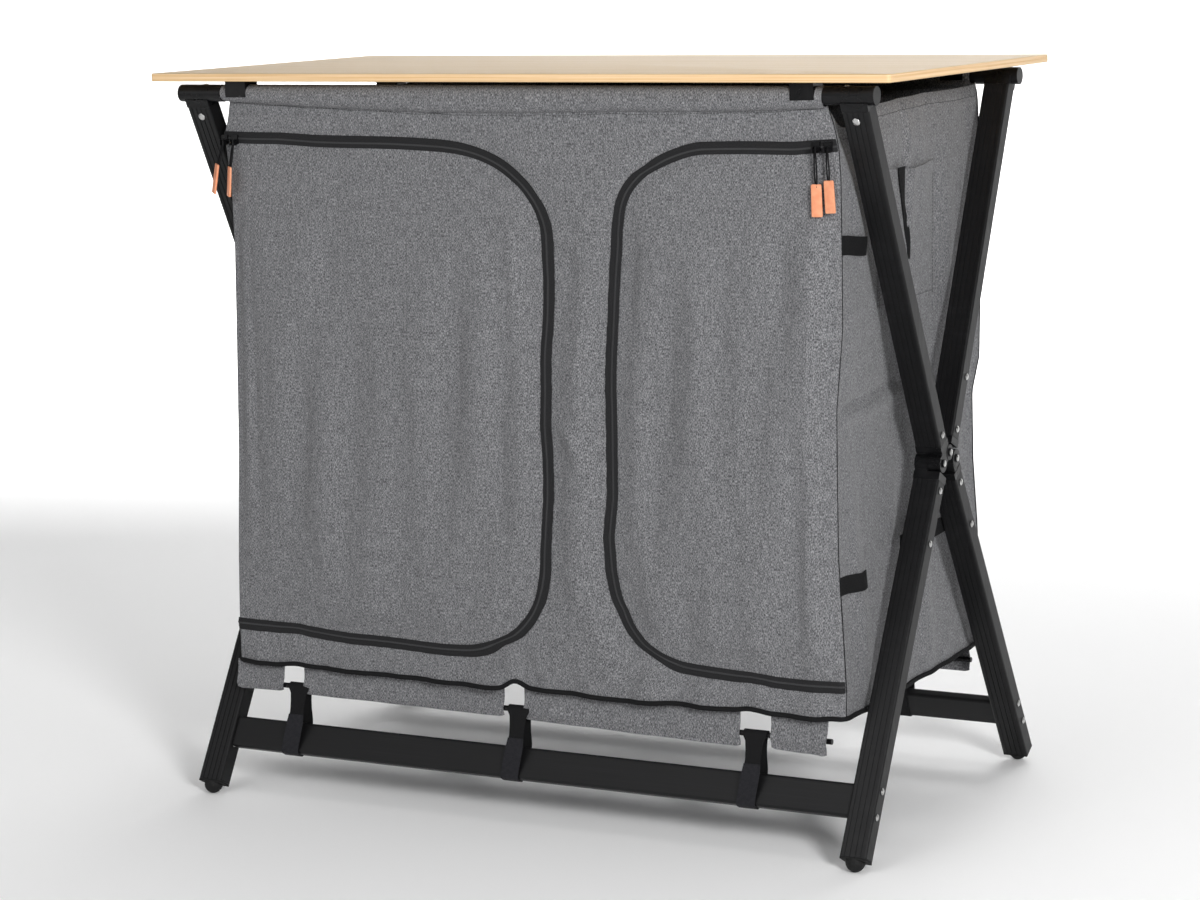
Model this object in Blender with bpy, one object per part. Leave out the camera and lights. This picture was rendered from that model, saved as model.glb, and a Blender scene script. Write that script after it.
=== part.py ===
"""Camping cabinet: folding tube frame, lift-off bamboo board and a hanging fabric cupboard.

Metres, +Z up, front towards -Y, origin on the floor under the middle of the cabinet.
"""
import bpy
import bmesh
import math
from mathutils import Matrix, Vector

# Clearances between neighbouring pieces
GAP = 0.0003
HALF_GAP = GAP / 2
WELD = 0.0005

# Board
BOARD_TOP = 0.820
BOARD_THICK = 0.009
BOARD_WIDTH = 0.900
BOARD_DEPTH = 0.450
BOARD_CORNER = 0.018
BOARD_EDGE = 0.0015
BOARD_OVERHANG = 0.0335
BOARD_UNDER = BOARD_TOP - BOARD_THICK

# Tubes of the legs
LEG_WIDE = 0.030
LEG_DEEP = 0.020
LEG_WALL = 0.0015
LEG_CORNER = 0.002
GROOVE_WIDE = 0.0014
GROOVE_DEEP = 0.0006
GROOVES = 4
SPIGOT_LONG = 0.022
SPIGOT_CLEAR = LEG_WALL + GAP
HALF_WIDE = LEG_WIDE / 2
HALF_DEEP = LEG_DEEP / 2
LEG_OUTER = BOARD_WIDTH / 2 - BOARD_OVERHANG
LEG_X = LEG_OUTER - HALF_WIDE
LEG_INNER = LEG_X - HALF_WIDE

# Rails and their corner fittings
RAIL_R = 0.008
RAIL_WALL = 0.0012
RAIL_INSET = 0.025
RAIL_DROP = 0.014
RAIL_Y = BOARD_DEPTH / 2 - RAIL_INSET
RAIL_Z = BOARD_UNDER - RAIL_DROP
RAIL_IN_BOSS = 0.015
BOSS_WALL = 0.00175
BOSS_INSIDE = 0.0185
BOSS_OUTSIDE = 0.008
BOSS_R = RAIL_R + BOSS_WALL
BOSS_INNER = LEG_INNER - BOSS_INSIDE
BOSS_OUTER = LEG_OUTER + BOSS_OUTSIDE
RAIL_END = BOSS_INNER + RAIL_IN_BOSS
FITTING_DROP = 0.0135
SHOULDER = 0.0035

# Scissor pivot, knuckles and the lines of the legs, in depth and height
PIVOT = Vector((0.0, 0.402))
KNUCKLE = PIVOT + Vector((0.0185, -0.0093))
UPPER_RIVET = PIVOT + Vector((0.0210, 0.0220))
LOWER_RIVET = KNUCKLE + Vector((0.0109, -0.0283))
UPPER_TILT = math.atan2(RAIL_Y - UPPER_RIVET.x, RAIL_Z - UPPER_RIVET.y)
LOWER_TILT = math.radians(30.0)
LUG_R = 0.0085
BARREL_R = 0.010
PIN_R = 0.0026
BORE_R = 0.0030
HEAD_R = 0.0045
HEAD_HIGH = 0.0015
COLLAR_START = 0.0105
COLLAR_END = 0.0187
LOWER_COLLAR_START = 0.0115
LOWER_COLLAR_END = 0.0197
WEB_LOW = 0.006
WEB_INSET = 0.0004
WEB_BACK = 0.0013

# Lower crossbars and feet
BAR_TALL = 0.036
BAR_DEEP = 0.012
BAR_WALL = 0.0015
BAR_CORNER = 0.003
BAR_Z = 0.0651
FOOT_R = 0.0105
FOOT_END_Z = 0.013
FOOT_FLANGE = 0.0025
FOOT_PLUG = 0.015

# Board clips over the rails
CLIP_WIDE = 0.0265
CLIP_INSET = 0.0223
CLIP_X = BOSS_INNER - CLIP_INSET
CLIP_SEAT = RAIL_R + GAP
CLIP_WALL = 0.0022
CLIP_REACH = 0.004
CLIP_PAD = 0.013
CLIP_HOOK = math.radians(20)

# Fabric cupboard
CLOTH = 0.0025
BAG_CLEAR = 0.0085
BAG_SET_BACK = 0.004
BAG_HALF = LEG_INNER - BAG_CLEAR
BAG_FRONT = RAIL_Y - BAG_SET_BACK
FRONT_DROP = 0.013
SIDE_DROP = 0.010
BAG_TOP = RAIL_Z - FRONT_DROP
SIDE_TOP = RAIL_Z - SIDE_DROP
BAG_FLOOR_Z = 0.149
FLOOR_THICK = 0.004
SHELF_Z = 0.465
HINGE_STRIP = 0.0035
HINGE_X = BAG_HALF - HINGE_STRIP
STRIP = 0.001

# Hem rod with its skirt, and the straps that tie it to the crossbar
HEM_DROP = 0.025
ROD_Z = BAG_FLOOR_Z - HEM_DROP
ROD_R = 0.0032
HEM_R = 0.0043
ROD_SHORT_LEFT = 0.006
ROD_SHORT_RIGHT = 0.018
ROD_LEFT = ROD_SHORT_LEFT - BAG_HALF
ROD_RIGHT = BAG_HALF - ROD_SHORT_RIGHT
WINDOW_DROP = 0.004
WINDOW_TOP = BAG_FLOOR_Z - WINDOW_DROP
WINDOW_WIDE = 0.034
STRAP_WIDE = 0.026
STRAP_THICK = 0.0012
STRAP_PLACE_SHARES = (-0.80, -0.04, 0.72)
STRAP_CENTRES = [share * BAG_HALF for share in STRAP_PLACE_SHARES]

# Sleeves of cloth round the rails, open where the clips grip
SLEEVE_WALL = 0.0014
SLEEVE_CLEAR = 0.002
SLEEVE_R = RAIL_R + GAP
SLEEVE_OUT = SLEEVE_R + SLEEVE_WALL
SLEEVE_HALF = CLIP_X - CLIP_WIDE / 2 - SLEEVE_CLEAR
SLEEVE_TAB_IN = CLIP_X + CLIP_WIDE / 2 + SLEEVE_CLEAR
SLEEVE_TAB_OUT = BOSS_INNER - WELD

# Folds and slack of the cloth
DOOR_FOLD = 0.0040
FOLD_PITCH = 0.082
FOLD_LEAN = 0.25
SIDE_PINCH = 0.010
SIDE_FOLD = 0.003
CREASE_TALL = 0.016

# Doors, each a D with its straight side at the corner of the cupboard
DOOR_BELOW_TOP = 0.0385
DOOR_OVER_FLOOR = 0.041
DOOR_TOP = BAG_TOP - DOOR_BELOW_TOP
DOOR_LOW = BAG_FLOOR_Z + DOOR_OVER_FLOOR
LEFT_END_SHARE = 0.0715
RIGHT_END_SHARE = 0.275
LEFT_END = LEFT_END_SHARE * BAG_HALF
RIGHT_END = RIGHT_END_SHARE * BAG_HALF
LEFT_RADII = (0.140, 0.105, 0.085, 0.080)
RIGHT_RADII = (0.085, 0.100, 0.080, 0.085)
TAPE_OUT = 0.0055
TAPE_IN = 0.0075
TAPE_THICK = 0.0016
HINGE_Y = -(BAG_FRONT + GAP + TAPE_THICK)

# Zip sliders and pulls
SLIDER_INSETS = (0.018, 0.0045)
SLIDER_XS = [HINGE_X - inset for inset in SLIDER_INSETS]
SLIDER_FACE_Y = HINGE_Y - GAP
SLIDER_WIDE = 0.008
SLIDER_TALL = 0.010
SLIDER_DEEP = 0.0028
LUG_WIDE = 0.0016
LUG_OUT = 0.0062
SLIDER_PIN_R = 0.0007
EYE_R = 0.0026
EYE_BORE = 0.0012
EYE_WIDE = 0.0022
CORD_WIDE = 0.0026
CORD_THICK = 0.0016
CORD_LONG = 0.030
TAB_WIDE = 0.011
TAB_LONG = 0.035
TAB_THICK = 0.0022

# Spreader straps between the lower legs
SPREADER_Z = 0.312
SPREADER_LAP = 0.0063
SPREADER_TALL = 0.018
SPREADER_THICK = 0.0014

# Side pockets
POCKET_DROP = 0.069
POCKET_TALL = 0.133
POCKET_HIGH = SIDE_TOP - POCKET_DROP
POCKET_LOW = POCKET_HIGH - POCKET_TALL
POCKET_WIDE = 0.100
POCKET_FRONT = -0.084
POCKET_BACK = POCKET_FRONT + POCKET_WIDE
POCKET_THICK = 0.0020

ROUND = 24
SMALL_ROUND = 12
FLAT_ANGLE = math.radians(0.03)

# Measured along the leg lines from the pivot or the knuckle
UP = Vector((math.sin(UPPER_TILT), math.cos(UPPER_TILT)))
UP_OUT = Vector((math.cos(UPPER_TILT), -math.sin(UPPER_TILT)))
DOWN = Vector((math.sin(LOWER_TILT), -math.cos(LOWER_TILT)))
DOWN_OUT = Vector((math.cos(LOWER_TILT), math.sin(LOWER_TILT)))
UPPER_OFFSET = (UPPER_RIVET - PIVOT).dot(UP_OUT)
LOWER_OFFSET = (LOWER_RIVET - KNUCKLE).dot(DOWN_OUT)
KNUCKLE_ALONG = (KNUCKLE - PIVOT).dot(UP)
KNUCKLE_OUT = (KNUCKLE - PIVOT).dot(UP_OUT)
RAIL_ALONG = (Vector((RAIL_Y, RAIL_Z)) - PIVOT).dot(UP)
UPPER_TUBE = (COLLAR_END + GAP, RAIL_ALONG - FITTING_DROP)
LOWER_CENTRE = KNUCKLE + DOWN_OUT * LOWER_OFFSET
LOWER_TUBE = (LOWER_COLLAR_END + GAP, (LOWER_CENTRE.y - FOOT_END_Z) / math.cos(LOWER_TILT))
BAR_ALONG = (LOWER_CENTRE.y - BAR_Z) / math.cos(LOWER_TILT)
BAR_CENTRE = LOWER_CENTRE + DOWN * BAR_ALONG
SPREADER_Y = LOWER_CENTRE.x + (LOWER_CENTRE.y - SPREADER_Z) * math.tan(LOWER_TILT) + SPREADER_LAP


def material(name, colour, roughness, metallic):
    made = bpy.data.materials.new(name)
    made.use_nodes = True
    shader = made.node_tree.nodes["Principled BSDF"]
    shader.inputs["Base Color"].default_value = (*colour, 1.0)
    shader.inputs["Roughness"].default_value = roughness
    shader.inputs["Metallic"].default_value = metallic
    return made


def closed_mesh(bm):
    bmesh.ops.remove_doubles(bm, verts=bm.verts, dist=0.00001)
    bmesh.ops.recalc_face_normals(bm, faces=bm.faces)
    mesh = bpy.data.meshes.new("solid")
    bm.to_mesh(mesh)
    bm.free()
    return mesh


def prism(outline, low, high):
    """A solid along X between low and high, from an outline in depth and height."""
    bm = bmesh.new()
    near = [bm.verts.new((low, y, z)) for y, z in outline]
    far = [bm.verts.new((high, y, z)) for y, z in outline]
    bm.faces.new(near)
    bm.faces.new(far)
    count = len(outline)
    for i in range(count):
        j = (i + 1) % count
        bm.faces.new((near[i], near[j], far[j], far[i]))
    return closed_mesh(bm)


def disc(centre, radius, count=ROUND):
    """Outline of a circle in depth and height."""
    points = []
    for i in range(count):
        angle = 2 * math.pi * i / count
        points.append((centre[0] + radius * math.cos(angle), centre[1] + radius * math.sin(angle)))
    return points


def box(low, high):
    """A solid box between two corners."""
    outline = [(low[1], low[2]), (high[1], low[2]), (high[1], high[2]), (low[1], high[2])]
    return prism(outline, low[0], high[0])


def combine(base, tools, operation):
    """The solid that is left when the tools are added to base or taken from it."""
    holder = bpy.data.objects.new("base", base)
    bpy.context.collection.objects.link(holder)
    for tool in tools:
        cutter = bpy.data.objects.new("tool", tool)
        bpy.context.collection.objects.link(cutter)
        step = holder.modifiers.new("step", "BOOLEAN")
        step.operation = operation
        step.solver = "EXACT"
        step.object = cutter
        bpy.context.view_layer.update()
        graph = bpy.context.evaluated_depsgraph_get()
        result = bpy.data.meshes.new_from_object(holder.evaluated_get(graph))
        holder.modifiers.clear()
        holder.data = result
        bpy.data.objects.remove(cutter)
    mesh = holder.data
    bpy.data.objects.remove(holder)
    for simpler in (True, False):
        bm = bmesh.new()
        bm.from_mesh(mesh)
        if simpler:
            bmesh.ops.dissolve_limit(bm, angle_limit=FLAT_ANGLE, verts=bm.verts, edges=bm.edges)
        bmesh.ops.triangulate(bm, faces=bm.faces)
        whole = all(edge.is_manifold for edge in bm.edges)
        if whole or not simpler:
            bm.to_mesh(mesh)
        bm.free()
        if whole:
            break
    return mesh


def add(name, mesh, look, origin=(0, 0, 0), smooth=False):
    """One named piece of the cabinet, its origin on its own joint or place."""
    mesh.name = name
    mesh.materials.clear()
    mesh.materials.append(look)
    mesh.transform(Matrix.Translation(-Vector(origin)))
    piece = bpy.data.objects.new(name, mesh)
    piece.location = origin
    bpy.context.collection.objects.link(piece)
    if smooth:
        mesh.shade_smooth()
        mesh.set_sharp_from_angle(angle=math.radians(35))
    return piece


def rounded_rect(half_u, half_v, radius, steps=2):
    """Corner-rounded rectangle about zero, anticlockwise."""
    points = []
    corners = ((1, 1, 0), (-1, 1, 90), (-1, -1, 180), (1, -1, 270))
    for su, sv, start in corners:
        for i in range(steps + 1):
            angle = math.radians(start + 90 * i / steps)
            u = su * (half_u - radius) + radius * math.cos(angle)
            v = sv * (half_v - radius) + radius * math.sin(angle)
            points.append((u, v))
    return points


def leg_outline():
    """Section of a leg tube: across X, then across the depth, with grooves on the wide faces."""
    points = []
    pitch = LEG_WIDE / (GROOVES + 1)
    for side in (1, -1):
        face = rounded_rect(HALF_WIDE, HALF_DEEP, LEG_CORNER)
        half = len(face) // 2
        corner = face[:half] if side == 1 else face[half:]
        first, second = corner[:half // 2], corner[half // 2:]
        points.extend(first)
        for i in range(GROOVES):
            u = side * (HALF_WIDE - pitch * (i + 1))
            lip = side * GROOVE_WIDE / 2
            face_v = side * HALF_DEEP
            deep_v = side * (HALF_DEEP - GROOVE_DEEP)
            points.extend([(u + lip, face_v), (u + lip, deep_v), (u - lip, deep_v), (u - lip, face_v)])
        points.extend(second)
    return points


def hollow_bar(outer, inner, start, end, frame):
    """An open-ended tube between start and end; frame turns (u, v, along) into a place."""
    bm = bmesh.new()
    rings = []
    for along in (start, end):
        out = [bm.verts.new(frame(u, v, along)) for u, v in outer]
        inn = [bm.verts.new(frame(u, v, along)) for u, v in inner]
        rings.append((out, inn))
    for which in (0, 1):
        for i in range(len(rings[0][which])):
            j = (i + 1) % len(rings[0][which])
            a, b = rings[0][which], rings[1][which]
            bm.faces.new((a[i], a[j], b[j], b[i]))
    for out, inn in rings:
        edges = []
        for ring in (out, inn):
            for i in range(len(ring)):
                edges.append(bm.edges.get((ring[i], ring[(i + 1) % len(ring)])))
        bmesh.ops.triangle_fill(bm, edges=edges, use_beauty=True, use_dissolve=False)
    return closed_mesh(bm)


def flip(point, face):
    """A point in depth and height, on the front (-1) or back (1) of the cabinet."""
    return (face * point[0], point[1])


def upper_frame(side, face):
    def place(u, v, along):
        spot = PIVOT + UP * along + UP_OUT * (UPPER_OFFSET + v)
        return (side * LEG_X + u, face * spot.x, spot.y)
    return place


def lower_frame(side, face):
    def place(u, v, along):
        spot = LOWER_CENTRE + DOWN * along + DOWN_OUT * v
        return (side * LEG_X + u, face * spot.x, spot.y)
    return place


def block(frame, half_u, half_v, start, end):
    """A rectangular block along a leg line."""
    bm = bmesh.new()
    corners = [(-half_u, -half_v), (half_u, -half_v), (half_u, half_v), (-half_u, half_v)]
    near = [bm.verts.new(frame(u, v, start)) for u, v in corners]
    far = [bm.verts.new(frame(u, v, end)) for u, v in corners]
    bm.faces.new(near)
    bm.faces.new(far)
    for i in range(4):
        j = (i + 1) % 4
        bm.faces.new((near[i], near[j], far[j], far[i]))
    return closed_mesh(bm)


def half_span(side, outer):
    """X range of the outer or inner half of a leg's width."""
    if outer:
        span = (LEG_X + HALF_GAP, LEG_OUTER)
    else:
        span = (LEG_INNER, LEG_X - HALF_GAP)
    return tuple(sorted((side * span[0], side * span[1])))


def spot_outline(points, origin, along_dir, out_dir, face):
    """Outline from points given along and across a leg line."""
    outline = []
    for along, out in points:
        place = origin + along_dir * along + out_dir * out
        outline.append(flip(place, face))
    return outline


def pin(centre, side, face, outer):
    """A pivot pin with a head, running from one half of the joint through the other."""
    root = HALF_WIDE / 2
    if outer:
        start = LEG_X + root
        stop = LEG_INNER - GAP
        far = stop - HEAD_HIGH
    else:
        start = LEG_X - root
        stop = LEG_OUTER + GAP
        far = stop + HEAD_HIGH
    shaft = sorted((side * start, side * (stop + (far - stop) / 2)))
    head = sorted((side * stop, side * far))
    spot = flip(centre, face)
    return [prism(disc(spot, PIN_R), *shaft), prism(disc(spot, HEAD_R), *head)]


def near_head(centre, side, face, outer):
    """The fixed head of a pin, on the half of the joint that carries it."""
    if outer:
        span = sorted((side * (LEG_OUTER - WELD), side * (LEG_OUTER + HEAD_HIGH)))
    else:
        span = sorted((side * (LEG_INNER + WELD), side * (LEG_INNER - HEAD_HIGH)))
    return prism(disc(flip(centre, face), HEAD_R), *span)


def upper_joint(side, face):
    """Casting in the lower end of an upper leg: scissor lug and knuckle half."""
    outer = face < 0
    span = half_span(side, outer)
    frame = upper_frame(side, face)
    web_end = COLLAR_START + WELD
    web = spot_outline(
        [(-WEB_LOW, 0), (-WEB_LOW, KNUCKLE_OUT), (web_end, KNUCKLE_OUT - GAP), (web_end, 0)],
        PIVOT, UP, UP_OUT, face)
    base = prism(disc(flip(KNUCKLE, face), BARREL_R), *span)
    tools = [
        prism(web, span[0] + WEB_INSET, span[1] - WEB_INSET),
        prism(disc(flip(PIVOT, face), LUG_R), *span),
        block(frame, HALF_WIDE, HALF_DEEP, COLLAR_START, COLLAR_END),
        block(frame, HALF_WIDE - SPIGOT_CLEAR, HALF_DEEP - SPIGOT_CLEAR, COLLAR_END - WELD,
              COLLAR_END + SPIGOT_LONG),
    ]
    bores = [KNUCKLE]
    if outer:
        tools += pin(PIVOT, side, face, outer)
        tools.append(near_head(PIVOT, side, face, outer))
    else:
        bores.append(PIVOT)
    whole = combine(base, tools, "UNION")
    reach = (span[0] - HALF_GAP, span[1] + HALF_GAP)
    holes = [prism(disc(flip(centre, face), BORE_R), *reach) for centre in bores]
    return combine(whole, holes, "DIFFERENCE")


def lower_joint(side, face):
    """Casting in the upper end of a lower leg: knuckle half with the knuckle pin."""
    outer = face > 0
    span = half_span(side, outer)
    frame = lower_frame(side, face)
    web_end = LOWER_COLLAR_START + WELD
    web_in = LOWER_OFFSET - WEB_LOW
    web_out = LOWER_OFFSET + HALF_DEEP - WELD
    web = spot_outline(
        [(-WEB_BACK, web_in), (web_end, web_in), (web_end, web_out), (-WEB_BACK, web_out)],
        KNUCKLE, DOWN, DOWN_OUT, face)
    base = prism(disc(flip(KNUCKLE, face), BARREL_R), *span)
    tools = [
        prism(web, span[0] + WEB_INSET, span[1] - WEB_INSET),
        block(frame, HALF_WIDE, HALF_DEEP, LOWER_COLLAR_START, LOWER_COLLAR_END),
        block(frame, HALF_WIDE - SPIGOT_CLEAR, HALF_DEEP - SPIGOT_CLEAR, LOWER_COLLAR_END - WELD,
              LOWER_COLLAR_END + SPIGOT_LONG),
    ]
    tools += pin(KNUCKLE, side, face, outer)
    tools.append(near_head(KNUCKLE, side, face, outer))
    return combine(base, tools, "UNION")


def top_fitting(side, face):
    """Corner fitting: a boss for the rail end and a plug for the leg tube."""
    frame = upper_frame(side, face)
    ends = sorted((side * BOSS_INNER, side * BOSS_OUTER))
    rail = flip((RAIL_Y, RAIL_Z), face)
    base = prism(disc(rail, BOSS_R), *ends)
    start = UPPER_TUBE[1]
    tools = [
        block(frame, HALF_WIDE, HALF_DEEP, start + GAP, RAIL_ALONG - SHOULDER),
        block(frame, HALF_WIDE - SPIGOT_CLEAR, HALF_DEEP - SPIGOT_CLEAR, start - SPIGOT_LONG, start + WELD),
    ]
    whole = combine(base, tools, "UNION")
    bore = sorted((side * (BOSS_INNER - WELD), side * (RAIL_END + GAP)))
    return combine(whole, [prism(disc(rail, RAIL_R + GAP), *bore)], "DIFFERENCE")


def rail_tube(face):
    rail = flip((RAIL_Y, RAIL_Z), face)

    def place(u, v, along):
        return (along, rail[0] + u, rail[1] + v)
    outer = disc((0, 0), RAIL_R)
    inner = disc((0, 0), RAIL_R - RAIL_WALL)
    return hollow_bar(outer, inner, -RAIL_END, RAIL_END, place)


def crossbar(face):
    def place(u, v, along):
        spot = BAR_CENTRE + DOWN * u + DOWN_OUT * v
        return (along, face * spot.x, spot.y)
    outer = rounded_rect(BAR_TALL / 2, BAR_DEEP / 2, BAR_CORNER, 3)
    inner = rounded_rect(BAR_TALL / 2 - BAR_WALL, BAR_DEEP / 2 - BAR_WALL, BAR_CORNER - BAR_WALL, 3)
    end = LEG_INNER - GAP
    return hollow_bar(outer, inner, -end, end, place)


def foot(side, face):
    """Domed rubber foot plugged into the end of a lower leg."""
    frame = lower_frame(side, face)
    end = LOWER_TUBE[1]
    base = block(frame, HALF_WIDE - WELD, HALF_DEEP - WELD, end + GAP, end + FOOT_FLANGE)
    plug_wide = HALF_WIDE - SPIGOT_CLEAR
    plug_deep = HALF_DEEP - SPIGOT_CLEAR
    plug = block(frame, plug_wide, plug_deep, end - FOOT_PLUG, end + FOOT_FLANGE / 2)
    along = (LOWER_CENTRE.y - FOOT_R) / math.cos(LOWER_TILT)
    centre = LOWER_CENTRE + DOWN * along
    bm = bmesh.new()
    bmesh.ops.create_uvsphere(bm, u_segments=16, v_segments=10, radius=FOOT_R)
    bmesh.ops.translate(bm, vec=(side * LEG_X, face * centre.x, FOOT_R), verts=bm.verts)
    reach = block(frame, 2 * HALF_WIDE, 2 * HALF_WIDE, end + FOOT_FLANGE / 2, end + 2 * FOOT_R)
    dome = combine(closed_mesh(bm), [reach], "INTERSECT")
    return combine(base, [plug, dome], "UNION")


def wrapped(shapes, offset):
    """Convex outline round several outlines, pushed out by offset."""
    points = sorted({(round(y, 6), round(z, 6)) for shape in shapes for y, z in shape})

    def half(run):
        chain = []
        for p in run:
            while len(chain) > 1:
                a, b = chain[-2], chain[-1]
                if (b[0] - a[0]) * (p[1] - a[1]) - (b[1] - a[1]) * (p[0] - a[0]) > 1e-10:
                    break
                chain.pop()
            chain.append(p)
        return chain[:-1]
    hull = half(points) + half(points[::-1])
    result = []
    for i, here in enumerate(hull):
        before, after = hull[i - 1], hull[(i + 1) % len(hull)]
        first = Vector((here[1] - before[1], before[0] - here[0])).normalized()
        second = Vector((after[1] - here[1], here[0] - after[0])).normalized()
        middle = (first + second).normalized()
        push = offset / max(middle.dot(first), 0.5)
        result.append((here[0] + middle.x * push, here[1] + middle.y * push))
    return result


def tie_strap(centre, face):
    """Hook-and-loop strap round the hem rod and the crossbar."""
    bar = []
    for u, v in rounded_rect(BAR_TALL / 2, BAR_DEEP / 2, BAR_CORNER, 2):
        spot = BAR_CENTRE + DOWN * u + DOWN_OUT * v
        bar.append((face * spot.x, spot.y))
    rod = disc(flip((BAG_FRONT - CLOTH / 2, ROD_Z), face), ROD_R, SMALL_ROUND)
    inner = wrapped((bar, rod), GAP)
    outer = wrapped((bar, rod), GAP + STRAP_THICK)

    def place(u, v, along):
        return (along, u, v)
    return hollow_bar(outer, inner, centre - STRAP_WIDE / 2, centre + STRAP_WIDE / 2, place)


def sheet(cells, place, shift=None):
    """A sheet of even thickness from flat cells; place turns (u, v, depth) into a point."""
    bm = bmesh.new()
    layers = ({}, {})

    def vert(u, v, layer):
        key = (round(u, 6), round(v, 6))
        if key not in layers[layer]:
            extra = shift(u, v) if shift else 0
            layers[layer][key] = bm.verts.new(place(u, v, layer * CLOTH + extra))
        return layers[layer][key]
    edges = {}
    for cell in cells:
        ring = []
        for u, v in cell:
            key = (round(u, 6), round(v, 6))
            if key not in ring:
                ring.append(key)
        for layer in (0, 1):
            bm.faces.new([vert(u, v, layer) for u, v in ring])
        for i, a in enumerate(ring):
            b = ring[(i + 1) % len(ring)]
            pair = tuple(sorted((a, b)))
            edges[pair] = edges.get(pair, 0) + 1
    for (a, b), uses in edges.items():
        if uses == 1:
            bm.faces.new((vert(*a, 0), vert(*b, 0), vert(*b, 1), vert(*a, 1)))
    bmesh.ops.triangulate(bm, faces=bm.faces)
    return closed_mesh(bm)


def grid(us, vs):
    cells = []
    for i in range(len(us) - 1):
        for j in range(len(vs) - 1):
            cells.append([(us[i], vs[j]), (us[i + 1], vs[j]), (us[i + 1], vs[j + 1]), (us[i], vs[j + 1])])
    return cells


def steps(low, high, count):
    return [low + (high - low) * i / count for i in range(count + 1)]


def door_curves(side, end, radii, inset):
    """Upper and lower edge of a door from the corner of the cupboard to its round end."""
    flats, rounds = 5, 8
    start = side * (HINGE_X - (GAP if inset > 0 else 0))
    way = -side
    tip = end - way * inset
    curves = []
    spans = ((DOOR_TOP - inset, -1, radii[0], radii[1]), (DOOR_LOW + inset, 1, radii[2], radii[3]))
    for level, turn, wide, tall in spans:
        wide, tall = wide - inset, tall - inset
        knee = tip - way * wide
        curve = [(x, level) for x in steps(start, knee, flats)]
        for i in range(1, rounds + 1):
            angle = math.pi / 2 * i / rounds
            curve.append((knee + way * wide * math.sin(angle), level + turn * tall * (1 - math.cos(angle))))
        curves.append(curve)
    return curves


def door_cells(side, end, radii):
    top, low = door_curves(side, end, radii, STRIP)
    rows = 10
    cells = []
    for i in range(len(top) - 1):
        for j in range(rows):
            cell = []
            for k, share in ((i, j / rows), (i + 1, j / rows), (i + 1, (j + 1) / rows), (i, (j + 1) / rows)):
                x = low[k][0] + (top[k][0] - low[k][0]) * share
                z = low[k][1] + (top[k][1] - low[k][1]) * share
                cell.append((x, z))
            cells.append(cell)
    return cells


def band(lower, upper):
    """Cells between two runs of points."""
    cells = []
    for i in range(len(lower) - 1):
        cells.append([lower[i], lower[i + 1], upper[i + 1], upper[i]])
    return cells


def front_cells():
    """Front of the cupboard, with an opening for each door and windows above the hem rod."""
    left_top, left_low = door_curves(-1, LEFT_END, LEFT_RADII, 0)
    right_top, right_low = door_curves(1, RIGHT_END, RIGHT_RADII, 0)
    top_run = [(-BAG_HALF, DOOR_TOP)] + left_top + right_top[::-1] + [(BAG_HALF, DOOR_TOP)]
    low_run = [(-BAG_HALF, DOOR_LOW)] + left_low + right_low[::-1] + [(BAG_HALF, DOOR_LOW)]
    cells = band(top_run, [(x, BAG_TOP) for x, z in top_run])
    cells += band([(x, WINDOW_TOP) for x, z in low_run], low_run)
    middle = len(left_top)
    for i in (0, middle, len(top_run) - 2):
        cells.append([low_run[i], low_run[i + 1], top_run[i + 1], top_run[i]])
    return cells


def skirt_boxes(face):
    """Flaps below the cupboard with windows at the straps, and the rod in their hem."""
    edges = [ROD_LEFT]
    for centre in STRAP_CENTRES:
        edges += [centre - WINDOW_WIDE / 2, centre + WINDOW_WIDE / 2]
    edges.append(ROD_RIGHT)
    near, far = sorted((face * BAG_FRONT, face * (BAG_FRONT - CLOTH)))
    rod = flip((BAG_FRONT - CLOTH / 2, ROD_Z), face)
    pieces = []
    for i in range(0, len(edges), 2):
        low_corner = (edges[i], near, ROD_Z)
        high_corner = (edges[i + 1], far, WINDOW_TOP + WELD)
        pieces.append(box(low_corner, high_corner))
        pieces.append(prism(disc(rod, HEM_R, SMALL_ROUND), edges[i], edges[i + 1]))
    pieces.append(prism(disc(rod, ROD_R, SMALL_ROUND), ROD_LEFT + WELD, ROD_RIGHT - WELD))
    return pieces


def sleeve_pieces(face):
    """Loops of cloth round the rail, left open where the board's clips grip it."""
    rail = flip((RAIL_Y, RAIL_Z), face)
    spans = ((-SLEEVE_HALF, SLEEVE_HALF), (SLEEVE_TAB_IN, SLEEVE_TAB_OUT), (-SLEEVE_TAB_OUT, -SLEEVE_TAB_IN))
    near, far = sorted((face * BAG_FRONT, face * (BAG_FRONT - CLOTH)))
    solids = []
    holes = []
    for low, high in spans:
        solids.append(prism(disc(rail, SLEEVE_OUT), low, high))
        solids.append(box((low, near, BAG_TOP - WELD), (high, far, RAIL_Z - SLEEVE_R)))
        holes.append(prism(disc(rail, SLEEVE_R), low - WELD, high + WELD))
    return solids, holes


def panel(face, cells):
    """Front or back of the cupboard with its rail sleeve and skirt."""
    def place(u, v, depth):
        return (u, face * (BAG_FRONT - depth), v)
    body = sheet(cells, place)
    solids, holes = sleeve_pieces(face)
    whole = combine(body, skirt_boxes(face) + solids, "UNION")
    return combine(whole, holes, "DIFFERENCE")


def hump(value, low, high):
    """Zero at both ends, one in the middle."""
    share = (value - low) / (high - low)
    if share <= 0 or share >= 1:
        return 0.0
    return math.sin(math.pi * share) ** 2


def door_shift(side, end):
    def shift(x, z):
        edge_in = end + side * 2 * TAPE_IN
        low_x, high_x = sorted((side * (HINGE_X - TAPE_IN), edge_in))
        window = hump(x, low_x, high_x) * hump(z, DOOR_LOW + 2 * TAPE_IN, DOOR_TOP - 2 * TAPE_IN)
        wave = math.sin(2 * math.pi * (x + FOLD_LEAN * z) / FOLD_PITCH)
        return -DOOR_FOLD * window * (1 + wave) / 2
    return shift


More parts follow.
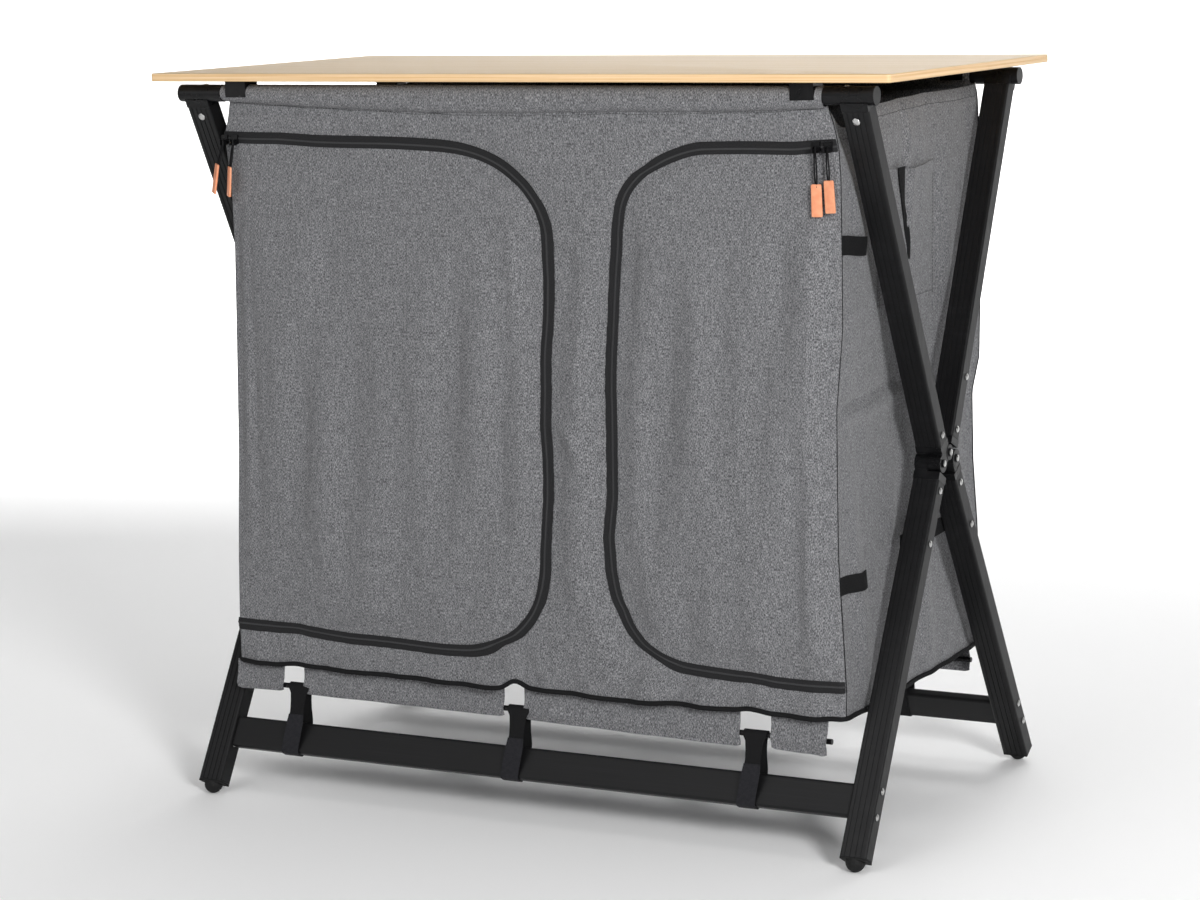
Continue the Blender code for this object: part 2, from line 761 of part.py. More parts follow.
def side_shift(y, z):
    window = hump(y, -BAG_FRONT, BAG_FRONT)
    pinch = SIDE_PINCH * window * hump(z, BAG_FLOOR_Z, SIDE_TOP)
    crease = SIDE_FOLD * window * math.exp(-((z - SHELF_Z) / CREASE_TALL) ** 2)
    return pinch + crease


def slider(x):
    """Zip slider in front of the tape, with two cheeks and a cross pin for the pull."""
    back = SLIDER_FACE_Y - SLIDER_DEEP
    half = SLIDER_WIDE / 2
    low_corner = (x - half, back, DOOR_TOP - SLIDER_TALL / 2)
    high_corner = (x + half, SLIDER_FACE_Y, DOOR_TOP + SLIDER_TALL / 2)
    base = box(low_corner, high_corner)
    tools = []
    cheek = EYE_WIDE / 2 + GAP
    tip = back - LUG_OUT
    for way in (-1, 1):
        low, high = sorted((x + way * cheek, x + way * (cheek + LUG_WIDE)))
        tools.append(box((low, tip, DOOR_TOP - LUG_OUT), (high, back + WELD, DOOR_TOP)))
    spot = slider_pin()
    tools.append(prism(disc(spot, SLIDER_PIN_R, SMALL_ROUND), x - cheek - WELD, x + cheek + WELD))
    return combine(base, tools, "UNION")


def slider_pin():
    """Depth and height of the cross pin that a pull hangs on."""
    return (SLIDER_FACE_Y - SLIDER_DEEP - LUG_OUT / 2, DOOR_TOP - LUG_OUT / 2)


def pull(x):
    """Cord and coloured tab hanging on the slider's pin."""
    y, z = slider_pin()
    eye = prism(disc((y, z), EYE_R, SMALL_ROUND), x - EYE_WIDE / 2, x + EYE_WIDE / 2)
    hole = prism(disc((y, z), EYE_BORE, SMALL_ROUND), x - EYE_WIDE, x + EYE_WIDE)
    eye = combine(eye, [hole], "DIFFERENCE")
    knot = z - EYE_R + WELD
    tab_top = z - CORD_LONG
    spans = (
        (CORD_WIDE / 2, CORD_THICK / 2, tab_top - WELD, knot),
        (TAB_WIDE / 2, TAB_THICK / 2, tab_top - TAB_LONG, tab_top),
    )
    strips = []
    for wide, thick, low, high in spans:
        strips.append(box((x - wide, y - thick, low), (x + wide, y + thick, high)))
    return combine(eye, strips, "UNION")


def clip(side, face):
    """Clip under the board: a pad screwed up from below and a jaw over the rail's outer side."""
    x = side * CLIP_X
    seat = RAIL_Z + CLIP_SEAT
    top = BOARD_UNDER - GAP
    outer = RAIL_Y + CLIP_SEAT + CLIP_WALL
    inner = RAIL_Y - CLIP_PAD
    outline = [(inner, seat), (inner, top), (outer, top), (outer, RAIL_Z - CLIP_REACH)]
    count = 8
    for i in range(count + 1):
        angle = (math.pi / 2 + CLIP_HOOK) * i / count - CLIP_HOOK
        outline.append((RAIL_Y + CLIP_SEAT * math.cos(angle), RAIL_Z + CLIP_SEAT * math.sin(angle)))
    return prism([flip(p, face) for p in outline], x - CLIP_WIDE / 2, x + CLIP_WIDE / 2)


def board():
    outline = rounded_rect(BOARD_WIDTH / 2, BOARD_DEPTH / 2, BOARD_CORNER, 5)
    corner_in = BOARD_CORNER - BOARD_EDGE
    inset = rounded_rect(BOARD_WIDTH / 2 - BOARD_EDGE, BOARD_DEPTH / 2 - BOARD_EDGE, corner_in, 5)
    levels = (
        (inset, BOARD_UNDER), (outline, BOARD_UNDER + BOARD_EDGE),
        (outline, BOARD_TOP - BOARD_EDGE), (inset, BOARD_TOP),
    )
    bm = bmesh.new()
    rings = [[bm.verts.new((x, y, z)) for x, y in ring] for ring, z in levels]
    bm.faces.new(rings[0])
    bm.faces.new(rings[-1])
    count = len(outline)
    for low, high in zip(rings, rings[1:]):
        for i in range(count):
            j = (i + 1) % count
            bm.faces.new((low[i], low[j], high[j], high[i]))
    return closed_mesh(bm)


for old in list(bpy.data.objects):
    bpy.data.objects.remove(old)

bamboo = material("bamboo", (0.72, 0.52, 0.30), 0.45, 0.0)
tube_black = material("tube_black", (0.018, 0.018, 0.020), 0.38, 0.6)
plastic_black = material("plastic_black", (0.012, 0.012, 0.013), 0.35, 0.0)
rubber_black = material("rubber_black", (0.010, 0.010, 0.010), 0.80, 0.0)
cloth_grey = material("cloth_grey", (0.135, 0.135, 0.145), 0.92, 0.0)
webbing_black = material("webbing_black", (0.014, 0.014, 0.015), 0.85, 0.0)
zip_black = material("zip_black", (0.010, 0.010, 0.011), 0.55, 0.0)
pull_coral = material("pull_coral", (0.80, 0.17, 0.07), 0.50, 0.0)

SIDES = ((-1, "left"), (1, "right"))
FACES = ((-1, "front"), (1, "back"))

# Board and its clips
add("table_top", board(), bamboo, (0, 0, BOARD_UNDER))
for face, where in FACES:
    for side, hand in SIDES:
        spot = (side * CLIP_X, face * RAIL_Y, BOARD_UNDER)
        add("board_clip_%s_%s" % (where, hand), clip(side, face), plastic_black, spot)

# Tube frame
bore_wide = HALF_WIDE - LEG_WALL
bore_deep = HALF_DEEP - LEG_WALL
leg_inner = [(u * bore_wide, v * bore_deep) for u, v in ((1, -1), (1, 1), (-1, 1), (-1, -1))]
for face, where in FACES:
    knuckle = (0, *flip(KNUCKLE, face))
    pivot = (0, *flip(PIVOT, face))
    add("rail_%s" % where, rail_tube(face), tube_black, (0, face * RAIL_Y, RAIL_Z), smooth=True)
    add("crossbar_%s" % where, crossbar(face), tube_black, knuckle, smooth=True)
    for side, hand in SIDES:
        tag = "%s_%s" % (where, hand)
        upper = hollow_bar(leg_outline(), leg_inner, *UPPER_TUBE, upper_frame(side, face))
        lower = hollow_bar(leg_outline(), leg_inner, *LOWER_TUBE, lower_frame(side, face))
        add("leg_upper_" + tag, upper, tube_black, pivot)
        add("leg_lower_" + tag, lower, tube_black, knuckle)
        add("top_fitting_" + tag, top_fitting(side, face), plastic_black, pivot, smooth=True)
        add("joint_upper_" + tag, upper_joint(side, face), plastic_black, pivot, smooth=True)
        add("joint_lower_" + tag, lower_joint(side, face), plastic_black, knuckle, smooth=True)
        add("foot_" + tag, foot(side, face), rubber_black, knuckle, smooth=True)
for side, hand in SIDES:
    near, far = sorted((side * (LEG_INNER - GAP), side * (LEG_INNER - GAP - SPREADER_THICK)))
    low_corner = (near, -SPREADER_Y, SPREADER_Z - SPREADER_TALL / 2)
    high_corner = (far, SPREADER_Y, SPREADER_Z + SPREADER_TALL / 2)
    add("spreader_strap_" + hand, box(low_corner, high_corner), webbing_black, (0, *flip(KNUCKLE, -1)))

# Fabric cupboard
add("bag_front", panel(-1, front_cells()), cloth_grey, (0, -BAG_FRONT, BAG_TOP), smooth=True)
back_cells = grid(steps(-BAG_HALF, BAG_HALF, 8), steps(WINDOW_TOP, BAG_TOP, 6))
add("bag_back", panel(1, back_cells), cloth_grey, (0, BAG_FRONT, BAG_TOP), smooth=True)
side_y = BAG_FRONT - CLOTH - GAP
for side, hand in SIDES:
    def side_place(u, v, depth, side=side):
        return (side * (BAG_HALF - depth), u, v)

    def pocket_place(u, v, depth, side=side):
        return (side * (BAG_HALF + POCKET_THICK - depth), u, v)
    flank = sheet(grid(steps(-side_y, side_y, 12), steps(BAG_FLOOR_Z, SIDE_TOP, 16)), side_place, side_shift)
    pocket_grid = grid(steps(POCKET_FRONT, POCKET_BACK, 4), steps(POCKET_LOW, POCKET_HIGH, 4))
    pocket = sheet(pocket_grid, pocket_place, side_shift)
    flank = combine(flank, [pocket], "UNION")
    add("bag_side_" + hand, flank, cloth_grey, (side * BAG_HALF, 0, SIDE_TOP), smooth=True)
inner_x = BAG_HALF - CLOTH - GAP
floor_low = (-inner_x, -side_y, BAG_FLOOR_Z)
floor_high = (inner_x, side_y, BAG_FLOOR_Z + FLOOR_THICK)
add("bag_floor", box(floor_low, floor_high), cloth_grey, (0, 0, BAG_FLOOR_Z))
shelf_x = inner_x - SIDE_PINCH - SIDE_FOLD - GAP
shelf = box((-shelf_x, -side_y, SHELF_Z - CLOTH), (shelf_x, side_y, SHELF_Z))
add("bag_shelf", shelf, cloth_grey, (0, 0, SHELF_Z))
for face, where in FACES:
    for centre, hand in zip(STRAP_CENTRES, ("left", "middle", "right")):
        spot = (centre, face * BAG_FRONT, ROD_Z)
        add("tie_strap_%s_%s" % (where, hand), tie_strap(centre, face), webbing_black, spot)

# Doors with their zips
for side, hand, end, radii in ((-1, "left", LEFT_END, LEFT_RADII), (1, "right", RIGHT_END, RIGHT_RADII)):
    hinge = (side * HINGE_X, HINGE_Y, (DOOR_TOP + DOOR_LOW) / 2)

    def door_place(u, v, depth):
        return (u, -(BAG_FRONT - depth), v)

    def tape_place(u, v, depth):
        return (u, -(BAG_FRONT + GAP + TAPE_THICK * (1 - depth / CLOTH)), v)
    door = sheet(door_cells(side, end, radii), door_place, door_shift(side, end))
    add("door_" + hand, door, cloth_grey, hinge, smooth=True)
    wide_top, wide_low = door_curves(side, end, radii, -TAPE_OUT)
    slim_top, slim_low = door_curves(side, end, radii, TAPE_IN)
    tape_cells = band(wide_top + wide_low[::-1], slim_top + slim_low[::-1])
    add("zip_" + hand, sheet(tape_cells, tape_place), zip_black, hinge)
    for x, order in zip(SLIDER_XS, ("inner", "outer")):
        spot = (side * x, *slider_pin())
        add("zip_slider_%s_%s" % (hand, order), slider(side * x), zip_black, spot)
        add("zip_pull_%s_%s" % (hand, order), pull(side * x), pull_coral, spot)
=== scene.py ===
import math

import bmesh
import bpy
import numpy as np
from mathutils import Matrix, Vector
from mathutils.geometry import convex_hull_2d


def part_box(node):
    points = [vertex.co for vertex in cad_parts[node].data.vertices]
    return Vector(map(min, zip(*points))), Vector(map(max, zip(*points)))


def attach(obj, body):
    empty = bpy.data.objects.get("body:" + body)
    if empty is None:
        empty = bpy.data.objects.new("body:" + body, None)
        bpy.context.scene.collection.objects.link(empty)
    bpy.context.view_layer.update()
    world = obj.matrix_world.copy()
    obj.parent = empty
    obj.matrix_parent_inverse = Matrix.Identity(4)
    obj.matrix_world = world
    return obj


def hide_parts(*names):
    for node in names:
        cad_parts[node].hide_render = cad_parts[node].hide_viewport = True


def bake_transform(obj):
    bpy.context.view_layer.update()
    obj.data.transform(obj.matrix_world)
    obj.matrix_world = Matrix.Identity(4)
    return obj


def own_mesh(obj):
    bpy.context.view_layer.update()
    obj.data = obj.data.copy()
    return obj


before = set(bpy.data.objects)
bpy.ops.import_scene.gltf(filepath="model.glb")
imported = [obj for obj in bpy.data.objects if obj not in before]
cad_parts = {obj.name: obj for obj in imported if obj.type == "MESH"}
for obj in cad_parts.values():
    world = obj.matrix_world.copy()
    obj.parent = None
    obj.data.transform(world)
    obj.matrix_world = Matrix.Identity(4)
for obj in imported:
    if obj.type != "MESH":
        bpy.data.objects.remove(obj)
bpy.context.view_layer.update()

# Camera
# It stands to the right of the doors, a little above the board, and looks at the cabinet through
# a long lens. Its angles turn it from a level view along +Y.
CAMERA_PLACE = Vector((1.6556, -3.0198, 0.9600))
CAMERA_YAW = math.radians(25.8753)
CAMERA_PITCH = math.radians(-8.0134)
CAMERA_ROLL = math.radians(-1.2147)
CAMERA_SENSOR_MM = 36.0
FOCAL_SHARE = 2.5514
SHIFT_SHARES = (-0.1333, -0.0708)

camera_data = bpy.data.cameras.new("camera")
camera_data.sensor_width = CAMERA_SENSOR_MM
camera_data.lens = FOCAL_SHARE * CAMERA_SENSOR_MM
camera_data.shift_x, camera_data.shift_y = SHIFT_SHARES
camera = bpy.data.objects.new("camera", camera_data)
bpy.context.collection.objects.link(camera)
bpy.context.scene.camera = camera
level_view = Matrix.Rotation(math.pi / 2, 4, "X")
turn = Matrix.Rotation(CAMERA_YAW, 4, "Z") @ Matrix.Rotation(CAMERA_PITCH, 4, "X")
roll = Matrix.Rotation(CAMERA_ROLL, 4, "Z")
camera.matrix_world = Matrix.Translation(CAMERA_PLACE) @ turn @ level_view @ roll


# Studio
# A pale floor that runs up into a pale wall, lit by large soft lights from above, from the left
# and more strongly from the right.
FLOOR_HALF = 6.0
WALL_RADIUS = 1.5
WALL_HIGH = 6.0
FLOOR_COLOUR = (0.96, 0.96, 0.96, 1.0)
FLOOR_ROUGH = 0.9
FLOOR_SHINE = 0.1
ROOM_COLOUR = (1.0, 1.0, 1.0, 1.0)
ROOM_STRENGTH = 0.22
SHARP_FROM = math.radians(38)


def new_material(name):
    """A material and its Principled shader."""
    made = bpy.data.materials.new(name)
    made.use_nodes = True
    return made, made.node_tree.nodes["Principled BSDF"]


def finished(bm, name, look):
    """A new object at the origin from a bmesh, with one material."""
    mesh = bpy.data.meshes.new(name)
    bm.to_mesh(mesh)
    bm.free()
    mesh.materials.append(look)
    made = bpy.data.objects.new(name, mesh)
    bpy.context.collection.objects.link(made)
    mesh.shade_smooth()
    mesh.set_sharp_from_angle(angle=SHARP_FROM)
    return made


def only(kind, geometry):
    """The items of one kind among vertices, edges and faces."""
    return [item for item in geometry if isinstance(item, kind)]


floor_look, floor_shader = new_material("studio_floor")
floor_shader.inputs["Base Color"].default_value = FLOOR_COLOUR
floor_shader.inputs["Roughness"].default_value = FLOOR_ROUGH
floor_shader.inputs["Specular IOR Level"].default_value = FLOOR_SHINE
bm = bmesh.new()
front_edge = [bm.verts.new((side * FLOOR_HALF, -FLOOR_HALF, 0)) for side in (-1, 1)]
strip = [bm.edges.new(front_edge)]
back_line = FLOOR_HALF - WALL_RADIUS
grown = bmesh.ops.extrude_edge_only(bm, edges=strip)["geom"]
bmesh.ops.translate(bm, vec=(0, FLOOR_HALF + back_line, 0), verts=only(bmesh.types.BMVert, grown))
strip = only(bmesh.types.BMEdge, grown)
strip = [e for e in strip if all(abs(v.co.y - back_line) < 1e-6 for v in e.verts)]
centre = (0, back_line, WALL_RADIUS)
bent = bmesh.ops.spin(bm, geom=strip, cent=centre, axis=(1, 0, 0), angle=math.pi / 2, steps=12)
strip = only(bmesh.types.BMEdge, bent["geom_last"])
grown = bmesh.ops.extrude_edge_only(bm, edges=strip)["geom"]
bmesh.ops.translate(bm, vec=(0, 0, WALL_HIGH), verts=only(bmesh.types.BMVert, grown))
studio = finished(bm, "studio", floor_look)

world = bpy.data.worlds.new("room")
bpy.context.scene.world = world
world.use_nodes = True
world.node_tree.nodes["Background"].inputs["Color"].default_value = ROOM_COLOUR
world.node_tree.nodes["Background"].inputs["Strength"].default_value = ROOM_STRENGTH

LIGHTS = (
    ("key_right", (3.02, -2.72, 1.7), 0.9, 124.0, (0, 0, 0.42)),
    ("fill_left", (-2.4, -3.2, 1.5), 2.4, 14.0, (0, 0, 0.42)),
    ("floor_front", (-0.5, -2.9, 2.2), 1.8, 22.0, (-0.2, -2.6, 0.0)),
    ("top_soft", (0.2, 0.2, 3.4), 2.6, 16.0, (0, 0, 0.42)),
    ("wall_wash", (-2.6, 2.4, 3.2), 2.6, 330.0, (-4.2, 6.0, 1.0)),
    ("floor_wash", (0.2, 3.4, 2.8), 2.4, 90.0, (0.0, 4.0, 0.0)),
)
for light_name, place, size, power, aim in LIGHTS:
    data = bpy.data.lights.new(light_name, "AREA")
    data.shape = "DISK"
    data.size = size
    data.energy = power
    lamp = bpy.data.objects.new(light_name, data)
    bpy.context.collection.objects.link(lamp)
    lamp.location = place
    lamp.rotation_euler = (Vector(aim) - Vector(place)).to_track_quat("-Z", "Y").to_euler()
bpy.context.scene.view_settings.view_transform = "Standard"


# Bamboo board
# One panel pressed from thin bamboo strips that run along its length, sanded and lacquered, with
# its edges eased by a small round. Four clips under it hold it to the rails.
BOARD_EASE = 0.0014
BOARD_CORNER = 0.005
BAMBOO_PALE = (0.55, 0.395, 0.215, 1.0)
BAMBOO_MID = (0.465, 0.312, 0.142, 1.0)
BAMBOO_EDGE = (0.70, 0.45, 0.22, 1.0)
BAMBOO_EDGE_PALE = (0.83, 0.60, 0.36, 1.0)
STRIP_WIDE = 0.0065
PORE_WIDE = 0.0004
BAMBOO_SHINE = 0.30
LACQUER = 0.06
LACQUER_ROUGH = 0.30


def new_look(name, kind):
    """A material, its shader and one kind of texture coordinates."""
    made, body = new_material(name)
    return made, body, add_node(body, "TexCoord").outputs[kind]


def add_node(beside, kind, **settings):
    """A new node in the tree that a node or a socket belongs to."""
    made = beside.id_data.nodes.new("ShaderNode" + kind)
    for key, value in settings.items():
        setattr(made, key, value)
    return made


def joined(source, socket):
    source.id_data.links.new(source, socket)


def noise_of(vector, scales, detail=2.0, rough=0.5):
    """Noise that is stretched by its own scale along each axis."""
    place = add_node(vector, "Mapping")
    place.inputs["Scale"].default_value = scales
    joined(vector, place.inputs["Vector"])
    made = add_node(vector, "TexNoise")
    made.inputs["Scale"].default_value = 1.0
    made.inputs["Detail"].default_value = detail
    made.inputs["Roughness"].default_value = rough
    joined(place.outputs["Vector"], made.inputs["Vector"])
    return made.outputs["Fac"]


def ramp_of(value, low, high, low_to=0.0, high_to=1.0):
    made = add_node(value, "MapRange")
    made.inputs["From Min"].default_value = low
    made.inputs["From Max"].default_value = high
    made.inputs["To Min"].default_value = low_to
    made.inputs["To Max"].default_value = high_to
    joined(value, made.inputs["Value"])
    return made.outputs["Result"]


def mixed(factor, first, second):
    """Two colours, sockets or values, mixed by a factor."""
    made = add_node(factor, "Mix", data_type="RGBA")
    for name, value in (("Factor", factor), ("A", first), ("B", second)):
        kind = "VALUE" if name == "Factor" else "RGBA"
        socket = next(s for s in made.inputs if s.name == name and s.type == kind)
        if isinstance(value, bpy.types.NodeSocket):
            joined(value, socket)
        else:
            socket.default_value = value
    return next(s for s in made.outputs if s.type == "RGBA")


def maths(operation, first, second=None):
    made = add_node(first, "Math", operation=operation)
    for socket, value in zip(made.inputs, (first, second)):
        if isinstance(value, bpy.types.NodeSocket):
            joined(value, socket)
        elif value is not None:
            socket.default_value = value
    return made.outputs["Value"]


def axes_of(vector):
    made = add_node(vector, "SeparateXYZ")
    joined(vector, made.inputs["Vector"])
    return made.outputs


def wave_of(value, pitch):
    return maths("SINE", maths("MULTIPLY", value, 2 * math.pi / pitch))


def dressed(shader, colour, rough, height, distance, strength):
    """Gives a shader its colour, its roughness and a bump of the given depth."""
    joined(colour, shader.inputs["Base Color"])
    joined(rough, shader.inputs["Roughness"])
    bump = add_node(shader, "Bump")
    bump.inputs["Distance"].default_value = distance
    bump.inputs["Strength"].default_value = strength
    joined(height, bump.inputs["Height"])
    joined(bump.outputs["Normal"], shader.inputs["Normal"])


def eased_block(middle, size, axis, corner, ease):
    """A block with round corners along one axis and eased rims; both given as radius and steps."""
    bm = bmesh.new()
    bmesh.ops.create_cube(bm, size=1.0)
    bmesh.ops.scale(bm, vec=size, verts=bm.verts)
    bmesh.ops.translate(bm, vec=middle, verts=bm.verts)
    for (radius, steps), is_rim in ((corner, False), (ease, True)):
        chosen = []
        for side_line in bm.edges:
            rise = abs(side_line.verts[0].co[axis] - side_line.verts[1].co[axis])
            level = rise < 1e-6 and side_line.calc_face_angle(0) > 1.0
            wanted = level if is_rim else rise > size[axis] / 2
            if wanted:
                chosen.append(side_line)
        bmesh.ops.bevel(
            bm, geom=chosen, offset=radius, affect="EDGES", segments=steps, profile=0.5, material=-1)
    return bm


bamboo, shader, coords = new_look("bamboo_lacquered", "Object")
strip_no = maths("FLOOR", maths("DIVIDE", axes_of(coords)["Y"], STRIP_WIDE))
strip_seed = add_node(shader, "CombineXYZ")
joined(strip_no, strip_seed.inputs["X"])
strip_tone = add_node(shader, "TexWhiteNoise", noise_dimensions="3D")
joined(strip_seed.outputs["Vector"], strip_tone.inputs["Vector"])
grain = noise_of(coords, (5.0, 900.0, 300.0), 3.0)
broad = noise_of(coords, (3.0, 60.0, 60.0), 2.0)
pores = noise_of(coords, (60.0, 1 / PORE_WIDE, 1 / PORE_WIDE), 1.0)
tone = maths("MULTIPLY", strip_tone.outputs["Value"], 0.45)
tone = maths("ADD", tone, ramp_of(grain, 0.35, 0.7, 0, 0.4))
tone = maths("ADD", tone, ramp_of(broad, 0.3, 0.7, 0, 0.3))
face_colour = mixed(tone, BAMBOO_PALE, BAMBOO_MID)
facing = axes_of(add_node(shader, "NewGeometry").outputs["Normal"])
edge = ramp_of(maths("ABSOLUTE", facing["Z"]), 0.9, 0.3)
layers = noise_of(coords, (4.0, 4.0, 900.0), 2.0)
edge_colour = mixed(ramp_of(layers, 0.35, 0.65), BAMBOO_EDGE, BAMBOO_EDGE_PALE)
board_colour = mixed(edge, face_colour, edge_colour)
board_rough = ramp_of(grain, 0.3, 0.7, 0.46, 0.60)
dressed(shader, board_colour, board_rough, maths("ADD", grain, pores), 0.00012, 0.6)
shader.inputs["Specular IOR Level"].default_value = BAMBOO_SHINE
shader.inputs["Coat Weight"].default_value = LACQUER
shader.inputs["Coat Roughness"].default_value = LACQUER_ROUGH

board_low, board_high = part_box("table_top")
board_middle, board_size = (board_high + board_low) / 2, board_high - board_low
bm = eased_block(board_middle, board_size, 2, (BOARD_CORNER, 6), (BOARD_EASE, 4))
board = finished(bm, "board_panel", bamboo)
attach(board, "board")
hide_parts("table_top")


# Tubes, castings and feet
# Satin black coated aluminium legs, rails and crossbars with fine drawing lines, moulded black
# castings and matt rubber feet. Their solids are shown as they are.
TUBE_BLACK = (0.0068, 0.0068, 0.0073, 1.0)
TUBE_WORN = (0.013, 0.013, 0.014, 1.0)
PLASTIC_BLACK = (0.0045, 0.0045, 0.005, 1.0)
RUBBER_BLACK = (0.008, 0.008, 0.008, 1.0)
BLACK_SHINE = 0.22


def black_finish(name, dark, worn, roughness, scratches, grain_size, bump_depth):
    """A dark finish with soft patches, fine marks and a fine surface texture."""
    look, body, where = new_look(name, "Object")
    patches = noise_of(where, (9.0, 9.0, 9.0), 3.0)
    marks = noise_of(where, scratches, 2.0)
    fine = noise_of(where, (1 / grain_size,) * 3, 2.0)
    worn_by = maths("MULTIPLY", ramp_of(marks, 0.45, 0.75), ramp_of(patches, 0.3, 0.7))
    rough = ramp_of(patches, 0.3, 0.7, roughness, roughness + 0.06)
    rough = maths("ADD", ramp_of(marks, 0.3, 0.7, -0.05, 0.07), rough)
    colour = mixed(worn_by, dark, worn)
    dressed(body, colour, rough, maths("ADD", fine, marks), bump_depth, 0.5)
    body.inputs["Specular IOR Level"].default_value = BLACK_SHINE
    return look


tube_black = black_finish(
    "tube_satin_black", TUBE_BLACK, TUBE_WORN, 0.36, (40.0, 900.0, 12.0), 0.0005, 0.00004)
bar_black = black_finish(
    "bar_satin_black", TUBE_BLACK, TUBE_WORN, 0.38, (6.0, 700.0, 700.0), 0.0005, 0.00005)
plastic_black = black_finish(
    "plastic_moulded_black", PLASTIC_BLACK, TUBE_WORN, 0.26, (50.0, 50.0, 50.0), 0.0007, 0.00003)
rubber_black = black_finish(
    "rubber_matt_black", RUBBER_BLACK, TUBE_WORN, 0.62, (90.0, 90.0, 90.0), 0.0006, 0.00008)

FINISHES = (
    (("leg_", "rail_"), tube_black),
    (("crossbar_",), bar_black),
    (("joint_", "top_fitting_", "board_clip_"), plastic_black),
    (("foot_",), rubber_black),
)
for node_name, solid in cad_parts.items():
    for starts, look in FINISHES:
        if node_name.startswith(starts):
            solid.material_slots[0].material = look


# Grey cloth
# Heather grey polyester, woven from pale, middle and dark threads. Every panel of the cupboard is
# cut from it: a flat grid that is trimmed, laid on the panel's own folds, and given its thickness.
CLOTH_THICK = 0.0008
CLOTH_DARK = (0.040, 0.041, 0.044, 1.0)
CLOTH_MID = (0.138, 0.139, 0.146, 1.0)
CLOTH_PALE = (0.32, 0.32, 0.33, 1.0)
CLOTH_SHINE = 0.25
CLOTH_SHEEN = 0.12
SHEEN_ROUGH = 0.5
FLECK_ACROSS = 0.0008
FLECK_ALONG = 0.0025
THREAD_PITCH = 0.0011
RIPPLE_WAVES = 7
JOIN = 0.00002


def heather_group():
    """Colour and height of a mixed weave, from a UV map in metres."""
    group = bpy.data.node_groups.new("heather_weave", "ShaderNodeTree")
    group.interface.new_socket("UV", in_out="INPUT", socket_type="NodeSocketVector")
    for name in ("Dark", "Mid", "Pale"):
        group.interface.new_socket(name, in_out="INPUT", socket_type="NodeSocketColor")
    group.interface.new_socket("Colour", in_out="OUTPUT", socket_type="NodeSocketColor")
    group.interface.new_socket("Height", in_out="OUTPUT", socket_type="NodeSocketFloat")
    given = group.nodes.new("NodeGroupInput").outputs
    result = group.nodes.new("NodeGroupOutput").inputs
    uv = given["UV"]
    warp = noise_of(uv, (1 / FLECK_ACROSS, 1 / FLECK_ALONG, 1.0), 2.0, 0.6)
    weft = noise_of(uv, (1 / FLECK_ALONG, 1 / FLECK_ACROSS, 1.0), 2.0, 0.6)
    slub = noise_of(uv, (1 / 0.003, 1 / 0.014, 1.0), 2.0)
    cloud = noise_of(uv, (9.0, 9.0, 1.0), 2.0)
    mix = maths("ADD", maths("MULTIPLY", warp, 0.74), maths("MULTIPLY", weft, 0.26))
    mix = maths("ADD", mix, ramp_of(slub, 0.3, 0.7, -0.035, 0.035))
    dark = mixed(ramp_of(mix, 0.37, 0.50), given["Dark"], given["Mid"])
    colour = mixed(ramp_of(mix, 0.50, 0.64), dark, given["Pale"])
    shade = mixed(ramp_of(cloud, 0.3, 0.7, 0.0, 0.10), colour, given["Mid"])
    joined(shade, result["Colour"])
    split = axes_of(uv)
    waves = [wave_of(split[axis], THREAD_PITCH) for axis in ("X", "Y")]
    weave = maths("MULTIPLY", *waves)
    joined(maths("ADD", maths("MULTIPLY", weave, 0.35), mix), result["Height"])
    return group


heather = heather_group()
cloth_grey, shader, coords = new_look("cloth_heather_grey", "UV")
weave = add_node(shader, "Group")
weave.node_tree = heather
for socket, colour in (("Dark", CLOTH_DARK), ("Mid", CLOTH_MID), ("Pale", CLOTH_PALE)):
    weave.inputs[socket].default_value = colour
joined(coords, weave.inputs["UV"])
cloth_rough = ramp_of(weave.outputs["Height"], 0.2, 0.8, 0.92, 0.80)
dressed(shader, weave.outputs["Colour"], cloth_rough, weave.outputs["Height"], 0.00035, 0.6)
shader.inputs["Specular IOR Level"].default_value = CLOTH_SHINE
shader.inputs["Sheen Weight"].default_value = CLOTH_SHEEN
shader.inputs["Sheen Roughness"].default_value = SHEEN_ROUGH


def smooth_share(value, low, high):
    """Rises smoothly from 0 at low to 1 at high; takes numbers or arrays."""
    share = np.clip((value - low) / (high - low), 0.0, 1.0)
    return share * share * (3 - 2 * share)


def ripples(across, along, seed):
    """Soft seeded noise of about one wave per unit, between -1 and 1."""
    random = np.random.RandomState(seed)
    total = 0.0
    for _ in range(RIPPLE_WAVES):
        heading = random.uniform(0, 2 * math.pi)
        pace = random.uniform(0.55, 1.45) * 2 * math.pi
        phase = random.uniform(0, 2 * math.pi)
        total = total + np.sin(pace * (across * math.cos(heading) + along * math.sin(heading)) + phase)
    return total / math.sqrt(RIPPLE_WAVES * 2.0)


def crease(across, along, start, end, wide, high):
    """A soft ridge along the line from start to end, fading at both ends."""
    run = np.array(end) - np.array(start)
    length = float(np.hypot(*run))
    way = run / length
    on = (across - start[0]) * way[0] + (along - start[1]) * way[1]
    off = (across - start[0]) * way[1] - (along - start[1]) * way[0]
    fade = smooth_share(on, -0.25 * length, 0.3 * length) * smooth_share(on, 1.25 * length, 0.7 * length)
    return high * np.exp(-((off / wide) ** 2)) * fade


def flat_grid(columns, rows):
    """A flat grid with a line of points at each given column and row."""
    bm = bmesh.new()
    bmesh.ops.create_grid(bm, x_segments=len(columns) - 1, y_segments=len(rows) - 1, size=0.5)
    for vert in bm.verts:
        column = round((vert.co.x + 0.5) * (len(columns) - 1))
        row = round((vert.co.y + 0.5) * (len(rows) - 1))
        vert.co = (columns[column], rows[row], 0)
    return bm


def mapped(bm, uv):
    """Makes the UV map from the points' own X and Y."""
    for face in bm.faces:
        for loop in face.loops:
            loop[uv].uv = loop.vert.co.xy


